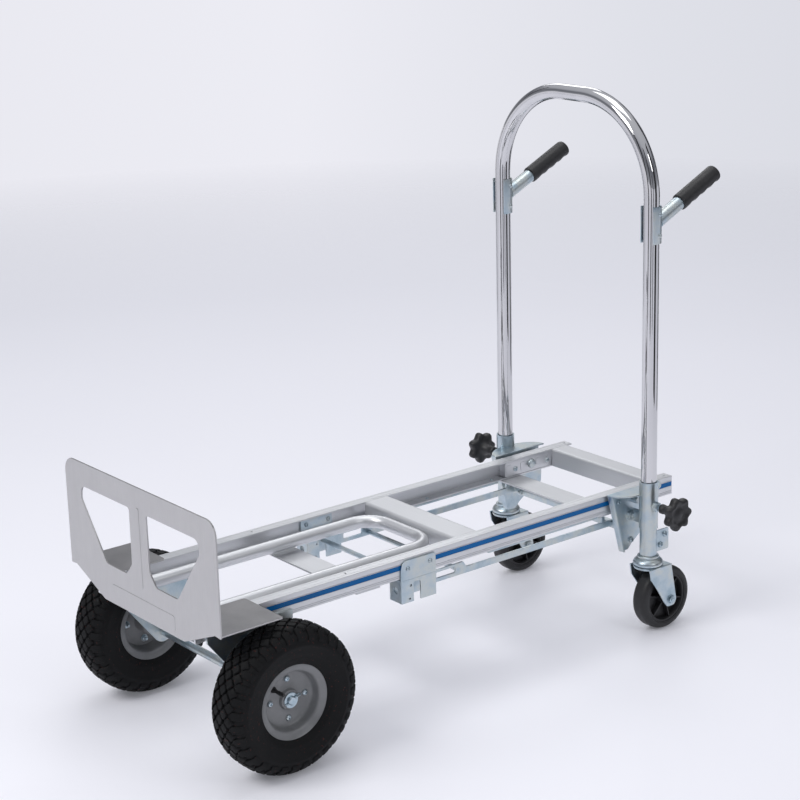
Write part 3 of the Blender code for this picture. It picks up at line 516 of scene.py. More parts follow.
# %% Zinc and chrome
zinc = Finish("blue_white_zinc", (0.62, 0.68, 0.72), 0.95, 0.3)
drift = zinc.noise(0.045, (1, 1, 1), 3)
speckle = zinc.noise(0.003, (1, 1, 1), 4)
tints = zinc.ramp(drift * 0.85 + speckle * 0.15, (0.30, (0.34, 0.45, 0.52)), (0.46, (0.50, 0.585, 0.64)),
                  (0.58, (0.60, 0.64, 0.63)), (0.72, (0.42, 0.53, 0.61)))
zinc.set("Base Color", tints)
zinc.set("Roughness", 0.22 + speckle * 0.16 + drift * 0.08)
zinc.bump(speckle, 0.00003)

chrome = Finish("polished_chrome", (0.66, 0.66, 0.68), 1.0, 0.05)
wiped = chrome.noise(0.05, (1, 1, 0.3), 4)
chrome.set("Roughness", 0.03 + wiped * 0.06)
chrome.set("Base Color", chrome.blend(wiped, (0.60, 0.60, 0.62), (0.72, 0.72, 0.73)))
print("metal finishes: aluminium, nose sheet, zinc, chrome")

# %% [markdown]
# ## Rubber, plastic and paint
# The tyres are soot-black rubber with dusty raised parts and a few reddish streaks left by the mould. The
# casters are a smoother, harder rubber. The knobs and wheel cores are moulded nylon with a fine grain.
# The rims are sprayed grey: an even colour with a slight orange-peel relief.

# %% Rubber, plastic, paint and stripe
tyre_rubber = Finish("tyre_rubber", (0.010, 0.011, 0.012), 0.0, 0.62, **{"Specular IOR Level": 0.2})
dust = tyre_rubber.noise(0.022, (1, 1, 1), 4)
grit = tyre_rubber.noise(0.0016, (1, 1, 1), 3)
rubber_colour = tyre_rubber.blend(dust * 0.7 + grit * 0.3, (0.0015, 0.0016, 0.0018), (0.0085, 0.009, 0.010))
streak = tyre_rubber.noise(0.004, (1, 0.18, 1), 2).over(0.68)
tyre_rubber.set("Base Color", tyre_rubber.blend(streak * 0.5, rubber_colour, (0.075, 0.018, 0.014)))
tyre_rubber.set("Roughness", 0.52 + dust * 0.22)
tyre_rubber.bump(grit, 0.00025)

caster_rubber = Finish("caster_rubber", (0.013, 0.013, 0.014), 0.0, 0.5)
scuff = caster_rubber.noise(0.01, (1, 1, 1), 4)
caster_rubber.set("Base Color", caster_rubber.blend(scuff, (0.009, 0.009, 0.010), (0.026, 0.026, 0.028)))
caster_rubber.set("Roughness", 0.4 + scuff * 0.24)
caster_rubber.bump(caster_rubber.noise(0.0012), 0.0001)

moulded = Finish("black_nylon", (0.016, 0.016, 0.017), 0.0, 0.42)
grain = moulded.noise(0.0011, (1, 1, 1), 2)
moulded.set("Base Color", moulded.blend(moulded.noise(0.015), (0.011, 0.011, 0.012), (0.024, 0.024, 0.026)))
moulded.set("Roughness", 0.34 + grain * 0.18)
moulded.bump(grain, 0.00012)

grip_rubber = Finish("grip_rubber", (0.012, 0.012, 0.013), 0.0, 0.4)
wear = grip_rubber.noise(0.012, (1, 1, 1), 4)
grip_rubber.set("Base Color", grip_rubber.blend(wear, (0.008, 0.008, 0.009), (0.024, 0.024, 0.026)))
grip_rubber.set("Roughness", 0.3 + wear * 0.25)
grip_rubber.bump(grip_rubber.noise(0.0009), 0.00008)

rim_paint = Finish("grey_rim_paint", (0.24, 0.245, 0.25), 0.25, 0.42)
peel = rim_paint.noise(0.0028, (1, 1, 1), 2)
grime = rim_paint.noise(0.02, (1, 1, 1), 4)
rim_paint.set("Base Color", rim_paint.blend(grime, (0.175, 0.178, 0.182), (0.265, 0.27, 0.275)))
rim_paint.set("Roughness", 0.34 + grime * 0.16)
rim_paint.bump(peel, 0.0001)

stripe = Finish("blue_stripe", (0.0, 0.12, 0.36), 0.0, 0.35, **{"Specular IOR Level": 0.2})
fade = stripe.noise(0.03, (0.3, 1, 1), 3)
stripe.set("Base Color", stripe.blend(fade, (0.0, 0.105, 0.32), (0.0, 0.140, 0.42)))
stripe.set("Roughness", 0.26 + fade * 0.14)
print("soft and painted finishes are ready")

# %% [markdown]
# ## Rails
# Each rail is an open aluminium extrusion. Its outer face has a groove for the blue stripe, a drip line
# above it and two fine lines below, and its top has two shallow lines for grip. The section is drawn once
# as (depth from the outer face, height) and run from end to end, exactly as the die does it.

# %% Rails
RAIL_H = RAIL_HIGH.z - RAIL_LOW.z
RAIL_OUT = RAIL_HIGH.y
RAIL_SECTION = [
    (0.0006, 0.0), (0.0, 0.0006), (0.0, 0.0036), (0.0009, 0.0038), (0.0009, 0.0044), (0.0, 0.0046),
    (0.0, 0.0066), (0.0009, 0.0068), (0.0009, 0.0074), (0.0, 0.0076), (0.0, 0.0163), (0.0015, 0.0165),
    (0.0015, 0.0255), (0.0, 0.0257), (0.0, 0.0264), (0.0012, 0.0266), (0.0012, 0.0274), (0.0, 0.0276),
    (0.0, RAIL_H - 0.0010), (0.0003, RAIL_H - 0.0003), (0.0010, RAIL_H), (0.0056, RAIL_H),
    (0.0058, RAIL_H - 0.0006), (0.0064, RAIL_H - 0.0006), (0.0066, RAIL_H), (0.0170, RAIL_H),
    (0.0172, RAIL_H - 0.0006), (0.0178, RAIL_H - 0.0006), (0.0180, RAIL_H), (0.0226, RAIL_H),
    (0.0234, RAIL_H - 0.0008), (0.0234, RAIL_H - 0.0030), (0.00375, RAIL_H - 0.0030), (0.00375, 0.0030),
    (0.0234, 0.0030), (0.0234, 0.0008), (0.0226, 0.0)]
for tag, side in SIDES:
    ends = [[(x, side * (RAIL_OUT - depth), RAIL_LOW.z + height) for depth, height in RAIL_SECTION]
            for x in (RAIL_LOW.x, RAIL_HIGH.x)]
    drills = [placed(turned([(0, 0.012), (0.0022, 0.012), (0.0022, -0.012), (0, -0.012)], 16),
                     (at(x), side * (RAIL_OUT - 0.0118), RAIL_HIGH.z)) for x in (0.19, 0.962)]
    show("rail_%s_extrusion" % tag, drilled(skin(ends), *drills), aluminium, "frame",
         ["rail_" + tag], 20)
keep(stripe, "stripe_l", "stripe_r", "stripe_end_l", "stripe_end_r")

# %% [markdown]
# ## Crossmembers
# The deck is tied together by two folded channels between the rails and two flat bars under them. The
# channels keep their plain nodes, whose folds are already true. The bars and the steel strips under the
# rails are cut sheet with soft edges, riveted up through the rail.

# %% Crossmembers
keep(crosswise, "mid_channel", "end_channel")
for name in ("front_cross", "rear_cross"):
    low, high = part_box(name)
    outline = box_loop(low.x, low.y, high.x, high.y, 0.003)
    bar = sheet(outline, high.z - low.z, FLAT, (0, 0, (low.z + high.z) / 2), edge=0.0006)
    rivets = [placed(rivet(0.0032, 0.0014), ((low.x + high.x) / 2 + dx, s * 0.1406, low.z), (0, 0, -1))
              for s in (1, -1) for dx in (-0.014, 0.014)]
    show(name + "_bar", together(bar, *rivets), crosswise, "frame", [name])
for tag, side in SIDES:
    low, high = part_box("under_strip_" + tag)
    outline = box_loop(low.x, low.y, high.x, high.y, 0.002)
    strip = sheet(outline, high.z - low.z, FLAT, (0, 0, (low.z + high.z) / 2))
    y = (low.y + high.y) / 2
    studs = [placed(rivet(0.0034, 0.0022), (x, y, low.z), (0, 0, -1))
             for x in (at(0.545), at(0.64), at(0.735))]
    show("under_strip_%s_plate" % tag, together(strip, *studs), zinc, "frame",
         ["under_strip_" + tag])
    floor_of_rail = RAIL_LOW.z + 0.003
    heads = [placed(rivet(0.0036, 0.0024), (x, side * (RAIL_OUT - 0.0125), floor_of_rail))
             for x in (at(0.60), at(0.765), at(0.10), at(0.26))]
    show("rail_%s_rivets" % tag, together(*heads), zinc, "frame")

# %% [markdown]
# ## Nose plate
# The nose is one cut sheet. It has two windows to save weight, a pressed rib up the middle and a shallow
# pressed panel at the foot, and each side folds back over the wheels as a flange. The outline and windows
# are corner lists with a radius each, so the laser-cut curves stay round at any size.

# %% Nose plate
low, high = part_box("nose_plate")
NOSE_FRONT = low.x + 0.0008
NOSE_SHEET = 0.003
NOSE_TOP = high.z
NOSE_HALF = high.y
sill = RAIL_HIGH.z + 0.030
half = [(0.1245, low.z, 0.006), (NOSE_HALF - 0.017, RAIL_HIGH.z - 0.0004, 0.003),
        (NOSE_HALF, RAIL_HIGH.z - 0.0018, 0.0015), (NOSE_HALF, NOSE_TOP, 0.026)]
outline = softened(half + [(-y, z, r) for y, z, r in reversed(half)], 8)
window = [(0.0265, NOSE_TOP - 0.0425, 0.006), (NOSE_HALF - 0.0525, NOSE_TOP - 0.0425, 0.014),
          (NOSE_HALF - 0.0495, sill + 0.098, 0.010), (0.1115, sill, 0.010), (0.046, sill, 0.010),
          (0.0275, sill + 0.022, 0.012)]
windows = [softened([(side * y, z, r) for y, z, r in window], 8) for tag, side in SIDES]
plate = sheet(outline, NOSE_SHEET, UPRIGHT_X, (NOSE_FRONT + NOSE_SHEET / 2, 0, 0), windows, 0.0006)
rib = sheet(box_loop(-0.0045, RAIL_HIGH.z + 0.016, 0.0045, NOSE_TOP - 0.036, 0.0044),
            0.0022, UPRIGHT_X, (NOSE_FRONT + 0.0003, 0, 0), edge=0.0009)
panel = sheet(box_loop(-0.099, 0.242, 0.099, 0.2705, 0.006),
              0.0016, UPRIGHT_X, (NOSE_FRONT + 0.0003, 0, 0), edge=0.0006)
flanges = []
for tag, side in SIDES:
    inner, outer = side * 0.122, side * (NOSE_HALF - 0.0004)
    loop = softened([(NOSE_FRONT + 0.0009, inner, 0), (NOSE_FRONT + 0.1225, inner, 0.006),
                     (NOSE_FRONT + 0.1225, outer, 0.004), (NOSE_FRONT + 0.0009, outer, 0)][::side])
    flanges.append(sheet(loop, NOSE_SHEET, FLAT, (0, 0, RAIL_HIGH.z + 0.0003 + NOSE_SHEET / 2),
                         edge=0.0005))
show("nose_pressing", together(plate, rib, panel, *flanges), nose_sheet, "frame",
     ["nose_plate"])

# %% [markdown]
# ## Folding toe bar
# The U bar between the rails is one bent tube, swept along straight runs and two quarter bends. Many
# sides and a ring every few degrees keep its highlight smooth. It turns on pins in two steel ears.

# %% Toe bar
low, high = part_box("toe_bar")
TOE_R = (high.z - low.z) / 2
TOE_Y = high.y - TOE_R
TOE_BEND = 0.048
toe_z = (low.z + high.z) / 2
corner = high.x - TOE_R - TOE_BEND
side_run = [(low.x, -TOE_Y), (low.x + 0.02, -TOE_Y), (corner - 0.01, -TOE_Y)]
side_run += bend((corner, -TOE_Y + TOE_BEND), TOE_BEND, -90, 0, 14)
path = side_run + [(x, -y) for x, y in reversed(side_run)]
show("toe_bar_tube", tube([(x, y, toe_z) for x, y in path], TOE_R, 36), aluminium, "toe",
     ["toe_bar"])
keep(zinc, "toe_pivot_l", "toe_pivot_r")

# %% [markdown]
# ## Tyres
# A pneumatic tyre has rows of diamond blocks over its crown and square lugs on its shoulders. Bump alone
# can't give the notched outline that they cut against the light, so each block is real geometry: a small
# frustum set on the carcass at the same angle as its neighbours. The carcass itself is a turned profile,
# with the raised ring that runs round every tyre's side.

# %% Tread blocks
WHEEL_LOW, WHEEL_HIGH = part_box("tyre_l")
WHEEL_R = (WHEEL_HIGH.z - WHEEL_LOW.z) / 2
TYRE_HALF = (WHEEL_HIGH.y - WHEEL_LOW.y) / 2
PITCHES = 32
TREAD = 0.0045


def crown(across):
    """Radius of the tread's top at a distance across from the middle."""
    return WHEEL_R - 0.0187 * abs(across / TYRE_HALF) ** 3.5


def tread_point(angle, across, sink=0.0):
    radius = crown(across) - sink
    return (radius * math.cos(angle), across, radius * math.sin(angle))


def block(form, angle, across, corners):
    """Raised block on the tread, its corners given as (distance round, distance across)."""
    rings = []
    for sink, share in ((TREAD + 0.001, 1.06), (0.0007, 1.0), (0.0, 0.90)):
        rings.append([form.verts.new(tread_point(angle + share * u / WHEEL_R, across + share * v, sink))
                      for u, v in corners])
    top = form.verts.new(tread_point(angle, across))
    count = len(corners)
    for i in range(count):
        j = (i + 1) % count
        form.faces.new((rings[0][i], rings[0][j], rings[1][j], rings[1][i]))
        form.faces.new((rings[1][i], rings[1][j], rings[2][j], rings[2][i]))
        form.faces.new((rings[2][i], rings[2][j], top))


def tread():
    """Five staggered rows of diamonds and a row of lugs on each shoulder."""
    form = bmesh.new()
    pitch = 2 * math.pi / PITCHES
    diamond = [(0.0086, -0.0012), (0.0086, 0.0012), (0.0012, 0.0073), (-0.0012, 0.0073),
               (-0.0086, 0.0012), (-0.0086, -0.0012), (-0.0012, -0.0073), (0.0012, -0.0073)]
    lug = [(0.0072, -0.0046), (0.0072, 0.0070), (-0.0072, 0.0070), (-0.0072, -0.0046), (0.0, -0.0080)]
    for i in range(PITCHES):
        for row in (-2, -1, 0, 1, 2):
            block(form, pitch * (i + 0.5 * (row % 2)), row * 0.0108, diamond)
        for hand in (1, -1):
            corners = [(u, hand * v) for u, v in lug]
            block(form, pitch * (i + 0.5), hand * 0.0318, corners)
    bmesh.ops.recalc_face_normals(form, faces=form.faces)
    return as_mesh(form)


print(PITCHES * 7, "tread blocks a tyre")

# %% [markdown]
# The carcass is one closed ring: over the crown just below the blocks, down the sidewall and round the bead
# to the rim. It is turned lying down and then stood up on the axle.

# %% Tyres
half_section = [
    (crown(0.0) - TREAD, 0.0), (crown(0.010) - TREAD, 0.010), (crown(0.020) - TREAD, 0.020),
    (crown(0.028) - TREAD, 0.028), (0.1158, 0.0348), (0.1085, 0.0382), (0.1030, 0.0396), (0.1015, 0.0403),
    (0.0990, 0.0403), (0.0975, 0.0397), (0.0900, 0.0390), (0.0830, 0.0372), (0.0790, 0.0358),
    (0.0770, 0.0358), (0.0750, 0.0344), (0.0690, 0.0315), (0.0664, 0.0300), (0.0640, 0.0270)]
section = mirrored(half_section[1:]) + half_section
wheel_turn = Matrix.Rotation(math.radians(-90), 4, "X")
for tag, side in SIDES:
    hub = middle("tyre_" + tag)
    carcass = turned(section, 128, closed=True)
    carcass.transform(wheel_turn)
    both = together(carcass, tread())
    both.transform(Matrix.Translation(hub))
    show("tyre_%s_tread" % tag, both, tyre_rubber, "wheel_" + tag, ["tyre_" + tag], 40)

# %% [markdown]
# ## Rims
# The rim is two steel pressings bolted back to back round a hub tube, then sprayed grey. From the lip it
# runs in as a wide cone, drops into a deep well and ends in a flat disc with four bolts. The turned profile
# below follows that from the hub outwards, and the bolts are set on their circle.

# %% Rims, bolts and valves
BOLT_CIRCLE = 0.035
DISC = 0.0073
front = [(0.0080, 0.0160), (0.0160, 0.0160), (0.0172, 0.0150), (0.0176, 0.0100), (0.0195, 0.0086),
         (0.0225, 0.0085),
         (0.0245, 0.0075), (0.0440, DISC), (0.0472, 0.0080), (0.0492, 0.0105), (0.0506, 0.0165),
         (0.0520, 0.0222),
         (0.0535, 0.0243), (0.0560, 0.0252), (0.0628, 0.0275), (0.0648, 0.0289), (0.0656, 0.0284),
         (0.0655, 0.0272)]
back = [(0.0655, -0.0272), (0.0656, -0.0284), (0.0648, -0.0289), (0.0628, -0.0275), (0.0560, -0.0252),
        (0.0535, -0.0243), (0.0520, -0.0222), (0.0506, -0.0150), (0.0492, -0.0040), (0.0472, 0.0012),
        (0.0440, 0.0020), (0.0200, 0.0020), (0.0178, 0.0000), (0.0176, -0.0270), (0.0165, -0.0280),
        (0.0080, -0.0280)]
behind = [(0.0620, 0.0240), (0.0560, 0.0215), (0.0550, 0.0100), (0.0550, -0.0100), (0.0560, -0.0215),
          (0.0620, -0.0240)]
for tag, side in SIDES:
    hub = middle("tyre_" + tag)
    rim = placed(turned(front + behind + back, 96, closed=True), hub, (0, side, 0))
    show("rim_%s_pressings" % tag, rim, rim_paint, "wheel_" + tag, ["rim_" + tag], 50)
    bolts = []
    for quarter in range(4):
        angle = math.radians(90 * quarter)
        spot = hub + Vector((BOLT_CIRCLE * math.cos(angle), side * DISC, BOLT_CIRCLE * math.sin(angle)))
        bolts.append(placed(pan_head(0.0054, 0.0036), spot, (0, side, 0)))
        spot = hub + Vector((BOLT_CIRCLE * math.cos(angle), side * 0.0020, BOLT_CIRCLE * math.sin(angle)))
        bolts.append(placed(hex_nut(0.0056, 0.0045, 0.004), spot, (0, -side, 0)))
    show("rim_%s_bolts" % tag, together(*bolts), zinc, "wheel_" + tag)
    low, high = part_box("valve_" + tag)
    foot = Vector(((low.x + high.x) / 2, low.y if side > 0 else high.y, (low.z + high.z) / 2))
    stem = turned([(0, 0.030), (0.0024, 0.030), (0.0028, 0.0295), (0.0029, 0.024), (0.0034, 0.0235),
                   (0.0035, 0.014),
                   (0.0030, 0.0135), (0.0032, 0.007), (0.0045, 0.003), (0.0054, 0.001), (0.0055, 0.0),
                   (0, 0)], 24)
    show("valve_%s_stem" % tag, placed(stem, foot, (0, side, 0)), grip_rubber, "wheel_" + tag,
         ["valve_" + tag])

# %% [markdown]
# ## Axle
# The axle is a plain steel bar with a spacer beside each wheel bracket. Outside each hub sits a big bright
# washer with a split pin through the bar end, which is what shows at the centre of the wheel.

# %% Axle, washers and split pins
low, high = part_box("axle")
end = high.y
spacer_in, spacer_out = RAIL_OUT + 0.0046, WHEEL_LOW.y + TYRE_HALF - 0.0283
half = [(0.0, end), (0.0062, end), (0.0075, end - 0.0014), (0.0075, spacer_out), (0.0118, spacer_out),
        (0.0125, spacer_out - 0.0008), (0.0125, spacer_in), (0.0075, spacer_in)]
bar = turned(half + mirrored(half), 40)
bar.transform(Matrix.Translation(AXLE) @ wheel_turn)
show("axle_bar", bar, zinc, "frame", ["axle"])
keep(zinc, "axle_bracket_l", "axle_bracket_r")
for tag, side in SIDES:
    low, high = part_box("axle_cap_" + tag)
    face = low.y if side > 0 else high.y
    disc = turned([(0.0078, 0.0), (0.0134, 0.0), (0.0135, 0.0004), (0.0135, 0.0021), (0.0131, 0.0025),
                   (0.0078, 0.0025)],
                  48, closed=True)
    washer = placed(disc, (AXLE.x, face, AXLE.z), (0, side, 0))
    y = face + side * 0.0046
    pin = tube([(AXLE.x - 0.0125, y, AXLE.z - 0.006), (AXLE.x - 0.006, y, AXLE.z - 0.003),
                (AXLE.x + 0.006, y, AXLE.z + 0.003), (AXLE.x + 0.0105, y, AXLE.z + 0.0052)], 0.0011, 10)
    eye = turned([(0.0034 + 0.0011 * math.cos(a), 0.0011 * math.sin(a))
                  for a in [math.radians(45 * k) for k in range(8)]], 20, closed=True)
    show("axle_cap_%s_washer" % tag,
         together(washer, pin, placed(eye, (AXLE.x + 0.0135, y, AXLE.z + 0.0068), (1, 0, -2))),
         zinc, "frame", ["axle_cap_" + tag])

# %% [markdown]
# ## Middle brackets
# A folded steel bracket hooks over each rail halfway along. Its outer plate is screwed to the rail, and below
# the fold it opens into a box with a notch for the latch rod. It is built from its plates, one sheet each,
# so that every edge shows its thickness and the fold shows as a line.

# %% Middle brackets
ROOF = RAIL_LOW.z - 0.0023
SCREW_R = 0.0043
for tag, side in SIDES:
    low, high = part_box("mid_bracket_" + tag)
    foot, lip = low.z, high.z
    x0, x1 = low.x, high.x
    notch = (at(0.3265), at(0.342))
    notch_top = RAIL_LOW.z - 0.010
    outside = side * (RAIL_OUT + 0.0003)
    plate_y = outside + side * 0.0015
    fold_z = RAIL_LOW.z - 0.0035
    holes = [ring_of(at(0.320), 0.222, 0.0024), ring_of(at(0.317), 0.1975, 0.0022)]
    upper = sheet(softened([(x0, fold_z, 0), (x1, fold_z, 0), (x1, lip, 0.003), (x0, lip, 0.015)]), 0.003,
                  UPRIGHT_Y,
                  (0, plate_y, 0))
    skirt = [(x0, foot, 0.001), (notch[0], foot, 0.001), (notch[0], notch_top, 0.004),
             (notch[1], notch_top, 0.004),
             (notch[1], foot, 0.001), (x1, foot, 0.001), (x1, fold_z, 0), (x0, fold_z, 0)]
    lower = sheet(softened(skirt), 0.003, UPRIGHT_Y, (0, plate_y, 0), holes)
    inner_y = side * (abs(low.y if side > 0 else high.y) + 0.0015)
    skirt_in = [(x, min(z, ROOF), r) for x, z, r in skirt]
    inner = sheet(softened(skirt_in), 0.003, UPRIGHT_Y, (0, inner_y, 0), holes)
    y0, y1 = sorted((inner_y, plate_y))
    end = sheet(box_loop(y0, foot, y1, ROOF, 0), 0.003, UPRIGHT_X,
                (x0 + 0.0016, 0, 0), [ring_of((y0 + y1) / 2, (foot + ROOF) / 2, 0.006)])
    roof = sheet([(x0, y0), (x1, y0), (x1, y1), (x0, y1)], 0.003, FLAT, (0, 0, ROOF - 0.0015))
    base = sheet([(x0, y0), (notch[0], y0), (notch[0], y1), (x0, y1)], 0.0025, FLAT, (0, 0, foot + 0.0014))
    show("mid_bracket_%s_folded" % tag, together(upper, lower, inner, end, roof, base), zinc, "frame",
         ["mid_bracket_" + tag])
    face = plate_y + side * 0.0015
    screws = [placed(pan_head(SCREW_R, 0.0028), (at(x), face, z), (0, side, 0))
              for x, z in ((0.3145, 0.2541), (0.3648, 0.2565))]
    low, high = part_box("mid_clamp_" + tag)
    inside = low.y if side > 0 else high.y
    screws += [placed(pan_head(SCREW_R, 0.0028), (at(x), inside, PIVOT_Z), (0, -side, 0))
               for x in (0.3145, 0.3648)]
    clamp = sheet(box_loop(low.x, low.z, high.x, high.z, 0.003),
                  high.y - low.y, UPRIGHT_Y, (0, (low.y + high.y) / 2, 0))
    show("mid_clamp_%s_plate" % tag, together(clamp, *screws), zinc, "frame",
         ["mid_clamp_" + tag])
keep(zinc, "mid_rod")

# %% [markdown]
# ## Latch frame
# Under the deck a flat steel frame slides along the truck to hold the folded handle. Its side bars are cut
# from sheet with a long window at one end, and a round bar and a flat tie join them. A thin bent rod rises
# from the tie as the release.

# %% Latch frame
low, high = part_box("latch_frame")
x0, x1 = low.x, high.x
bar_low, bar_high, bar_tall = low.z + 0.003, low.z + 0.015, high.z
tie, catch, cross = x1 - 0.012, x1 - 0.028, at(0.452)
outline = softened([(x0, bar_low, 0.003), (x1 - 0.006, bar_low, 0), (x1 - 0.006, bar_high, 0),
                    (catch, bar_high, 0),
                    (catch, bar_tall, 0.002), (catch - 0.007, bar_tall, 0.002),
                    (catch - 0.007, bar_high, 0.001),
                    (cross + 0.010, bar_high, 0.002), (cross + 0.003, bar_tall, 0.003),
                    (x0, bar_tall, 0.003)])
gap = box_loop(x0 + 0.007, bar_low + 0.007, cross - 0.016, bar_tall - 0.005, 0.002)
bars = [sheet(outline, 0.004, UPRIGHT_Y, (0, side * 0.1365, 0), [gap]) for tag, side in SIDES]
rod_z = (bar_low + bar_high) / 2
rods = [tube([(cross, -0.1375, rod_z), (cross, 0, rod_z), (cross, 0.1375, rod_z)], 0.0045, 20)]
reach = high.y
tie_bar = sheet(box_loop(tie, -reach, x1, reach, 0.002),
                0.012, FLAT, (0, 0, low.z + 0.006), edge=0.0006)
hook = [(x1 - 0.006, 0.095, low.z + 0.010), (x1 - 0.006, 0.095, low.z + 0.022),
        (x1 - 0.008, 0.099, low.z + 0.027),
        (x1 - 0.011, 0.107, low.z + 0.029), (x1 - 0.014, 0.120, low.z + 0.029),
        (x1 - 0.016, 0.149, low.z + 0.029)]
rods.append(tube(hook, 0.0038, 20))
ends = [placed(hex_nut(0.0058, 0.004, 0.003), (tie, side * 0.118, low.z + 0.006), (-1, 0, 0))
        for tag, side in SIDES]
show("latch_frame_bars", together(*bars, *rods, tie_bar, *ends), zinc, "latch",
     ["latch_frame"])

# %% [markdown]
# ## Fold joint
# At the handle end an aluminium block fills each rail and a big bolt runs through it. The block has three
# socket screws along it and shallow pressings between them. Outside, the bolt ends in a hex nut on the
# bracket plate.

# %% Blocks and fold bolts
for tag, side in SIDES:
    low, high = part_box("inner_block_" + tag)
    inside = low.y if side > 0 else high.y
    block_plate = sheet(box_loop(low.x, low.z, high.x, high.z, 0.002),
                        high.y - low.y, UPRIGHT_Y, (0, (low.y + high.y) / 2, 0), edge=0.0008)
    pads = []
    for x in (-0.056, -0.020, 0.022, 0.046):
        loop = box_loop(LEG.x + x - 0.006, PIVOT_Z - 0.009, LEG.x + x + 0.006, PIVOT_Z + 0.009, 0.003)
        pads.append(sheet(loop, 0.0016, UPRIGHT_Y, (0, inside, 0), edge=0.0006))
    show("inner_block_%s_plate" % tag, together(block_plate, *pads), aluminium, "frame",
         ["inner_block_" + tag])
    heads = [placed(pan_head(0.0052, 0.0026), (LEG.x + x, inside - side * 0.0004, PIVOT_Z - 0.002),
                    (0, -side, 0))
             for x in (-0.0385, 0.046)]
    low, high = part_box("pivot_bolt_" + tag)
    inner_end = low.y if side > 0 else high.y
    big = placed(pan_head(0.0095, 0.0058), (LEG.x + 0.004, inside, PIVOT_Z), (0, -side, 0))
    bolt = placed(turned([(0, 0.052), (0.006, 0.052), (0.006, 0.0), (0, 0.0)], 24),
                  (LEG.x, inner_end, PIVOT_Z), (0, side, 0))
    spacer = placed(turned([(0.0062, 0.0), (0.0105, 0.0), (0.011, 0.0005), (0.011, 0.0050),
                            (0.0105, 0.0055), (0.0062, 0.0055)],
                           32, closed=True), (LEG.x, side * (RAIL_OUT + 0.0003), PIVOT_Z), (0, side, 0))
    show("pivot_bolt_%s_heads" % tag, together(big, bolt, spacer, *heads), zinc, "frame",
         ["pivot_bolt_" + tag])

# %% [markdown]
# ## Leg brackets
# Each handle leg sits in a bracket that folds with it. A tall blade runs down and back to a narrow tip, a
# half-round ledge ties it to the leg, and a welded collar holds the tube. Behind the leg a clamp plate with
# two screws grips the caster tube. All of it is zinc-plated steel.

# %% Leg brackets
for tag, side in SIDES:
    low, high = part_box("leg_bracket_" + tag)
    bracket_y = abs(low.y if side > 0 else high.y)
    plate_t = 0.004
    top = RAIL_HIGH.z + 0.004
    tip = low.z
    x = LEG.x
    outline = softened([(x - 0.066, top, 0.001), (x + 0.050, top, 0.004),
                        (x + 0.050, RAIL_LOW.z - 0.004, 0.006),
                        (x + 0.058, RAIL_LOW.z - 0.014, 0.010), (x + 0.056, RAIL_LOW.z - 0.040, 0.008),
                        (x + 0.020, RAIL_LOW.z - 0.052, 0.014), (x - 0.004, tip + 0.010, 0.004),
                        (x - 0.014, tip, 0.004),
                        (x - 0.034, tip, 0.002)])
    blade = sheet(outline, plate_t, UPRIGHT_Y, (0, side * (bracket_y + plate_t / 2), 0))
    flange = sheet([(x - 0.0660, top - 0.001), (x - 0.0625, top - 0.001), (x - 0.0305, tip + 0.001),
                    (x - 0.0340, tip + 0.001)],
                   0.013, UPRIGHT_Y, (0, side * (bracket_y + 0.0070), 0))
    ledge = [(px, side * (bracket_y + 0.001 + py * 0.62))
             for px, py in bend((x, 0), LEG_Y - bracket_y + 0.0215, 0, 180, 24)]
    shelf = sheet(ledge if side > 0 else ledge[::-1], 0.0028, FLAT, (0, 0, top - 0.0016))
    collar_r = 0.0180
    collar = pole(x, side * LEG_Y, PIVOT_Z - 0.046, PIVOT_Z + 0.046, collar_r)
    bore = pole(x, side * LEG_Y, PIVOT_Z - 0.06, PIVOT_Z + 0.06, collar_r - 0.0014)
    collar = drilled(collar, bore)
    boss = placed(turned([(0, 0.0105), (0.0078, 0.0105), (0.0095, 0.0092), (0.0095, 0), (0, 0)], 6),
                  (x, side * (LEG_Y + collar_r - 0.001), PIVOT_Z), (0, side, 0))
    weld_web = sheet(box_loop(x - 0.007, PIVOT_Z - 0.040, x + 0.007, PIVOT_Z - 0.020, 0.001),
                     LEG_Y - bracket_y - collar_r + 0.0005, UPRIGHT_Y,
                     (0, side * ((LEG_Y + bracket_y - collar_r + 0.002) / 2), 0))
    clamp_z = (tip + 0.0030, tip + 0.045)
    jaw = sheet(box_loop(x + 0.0060, clamp_z[0], x + 0.0430, clamp_z[1], 0.003), 0.003, UPRIGHT_Y,
                (0, side * (LEG_Y + collar_r * 0.55), 0))
    screws = [placed(pan_head(0.0058, 0.0042), (x + dx, side * (LEG_Y + collar_r * 0.55 + 0.0015), z),
                     (0, side, 0))
              for dx, z in ((0.032, tip + 0.034), (0.021, tip + 0.015))]
    screws += [placed(pan_head(0.0050, 0.0030), (x - 0.040, side * (bracket_y + plate_t), PIVOT_Z + 0.003),
                      (0, side, 0)),
               placed(pan_head(0.0058, 0.0050), (x - 0.006, side * (bracket_y + plate_t), tip + 0.018),
                      (0, side, 0)),
               placed(hex_nut(0.0105, 0.0070, 0.003),
                      (x - 0.007, side * (bracket_y + plate_t), PIVOT_Z - 0.029), (0, side, 0), 0.5)]
    show("leg_bracket_%s_steel" % tag, together(blade, flange, shelf, collar, boss, weld_web, jaw, *screws),
         zinc, "fold",
         ["leg_bracket_" + tag])
    low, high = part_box("lower_leg_" + tag)
    outer = (high.x - low.x) / 2
    caster_tube = pole(x, side * LEG_Y, low.z, high.z, outer)
    bore = pole(x, side * LEG_Y, low.z - 0.01, high.z + 0.01, outer - 0.0012)
    show("lower_leg_%s_tube" % tag, drilled(caster_tube, bore), zinc, "fold",
         ["lower_leg_" + tag])

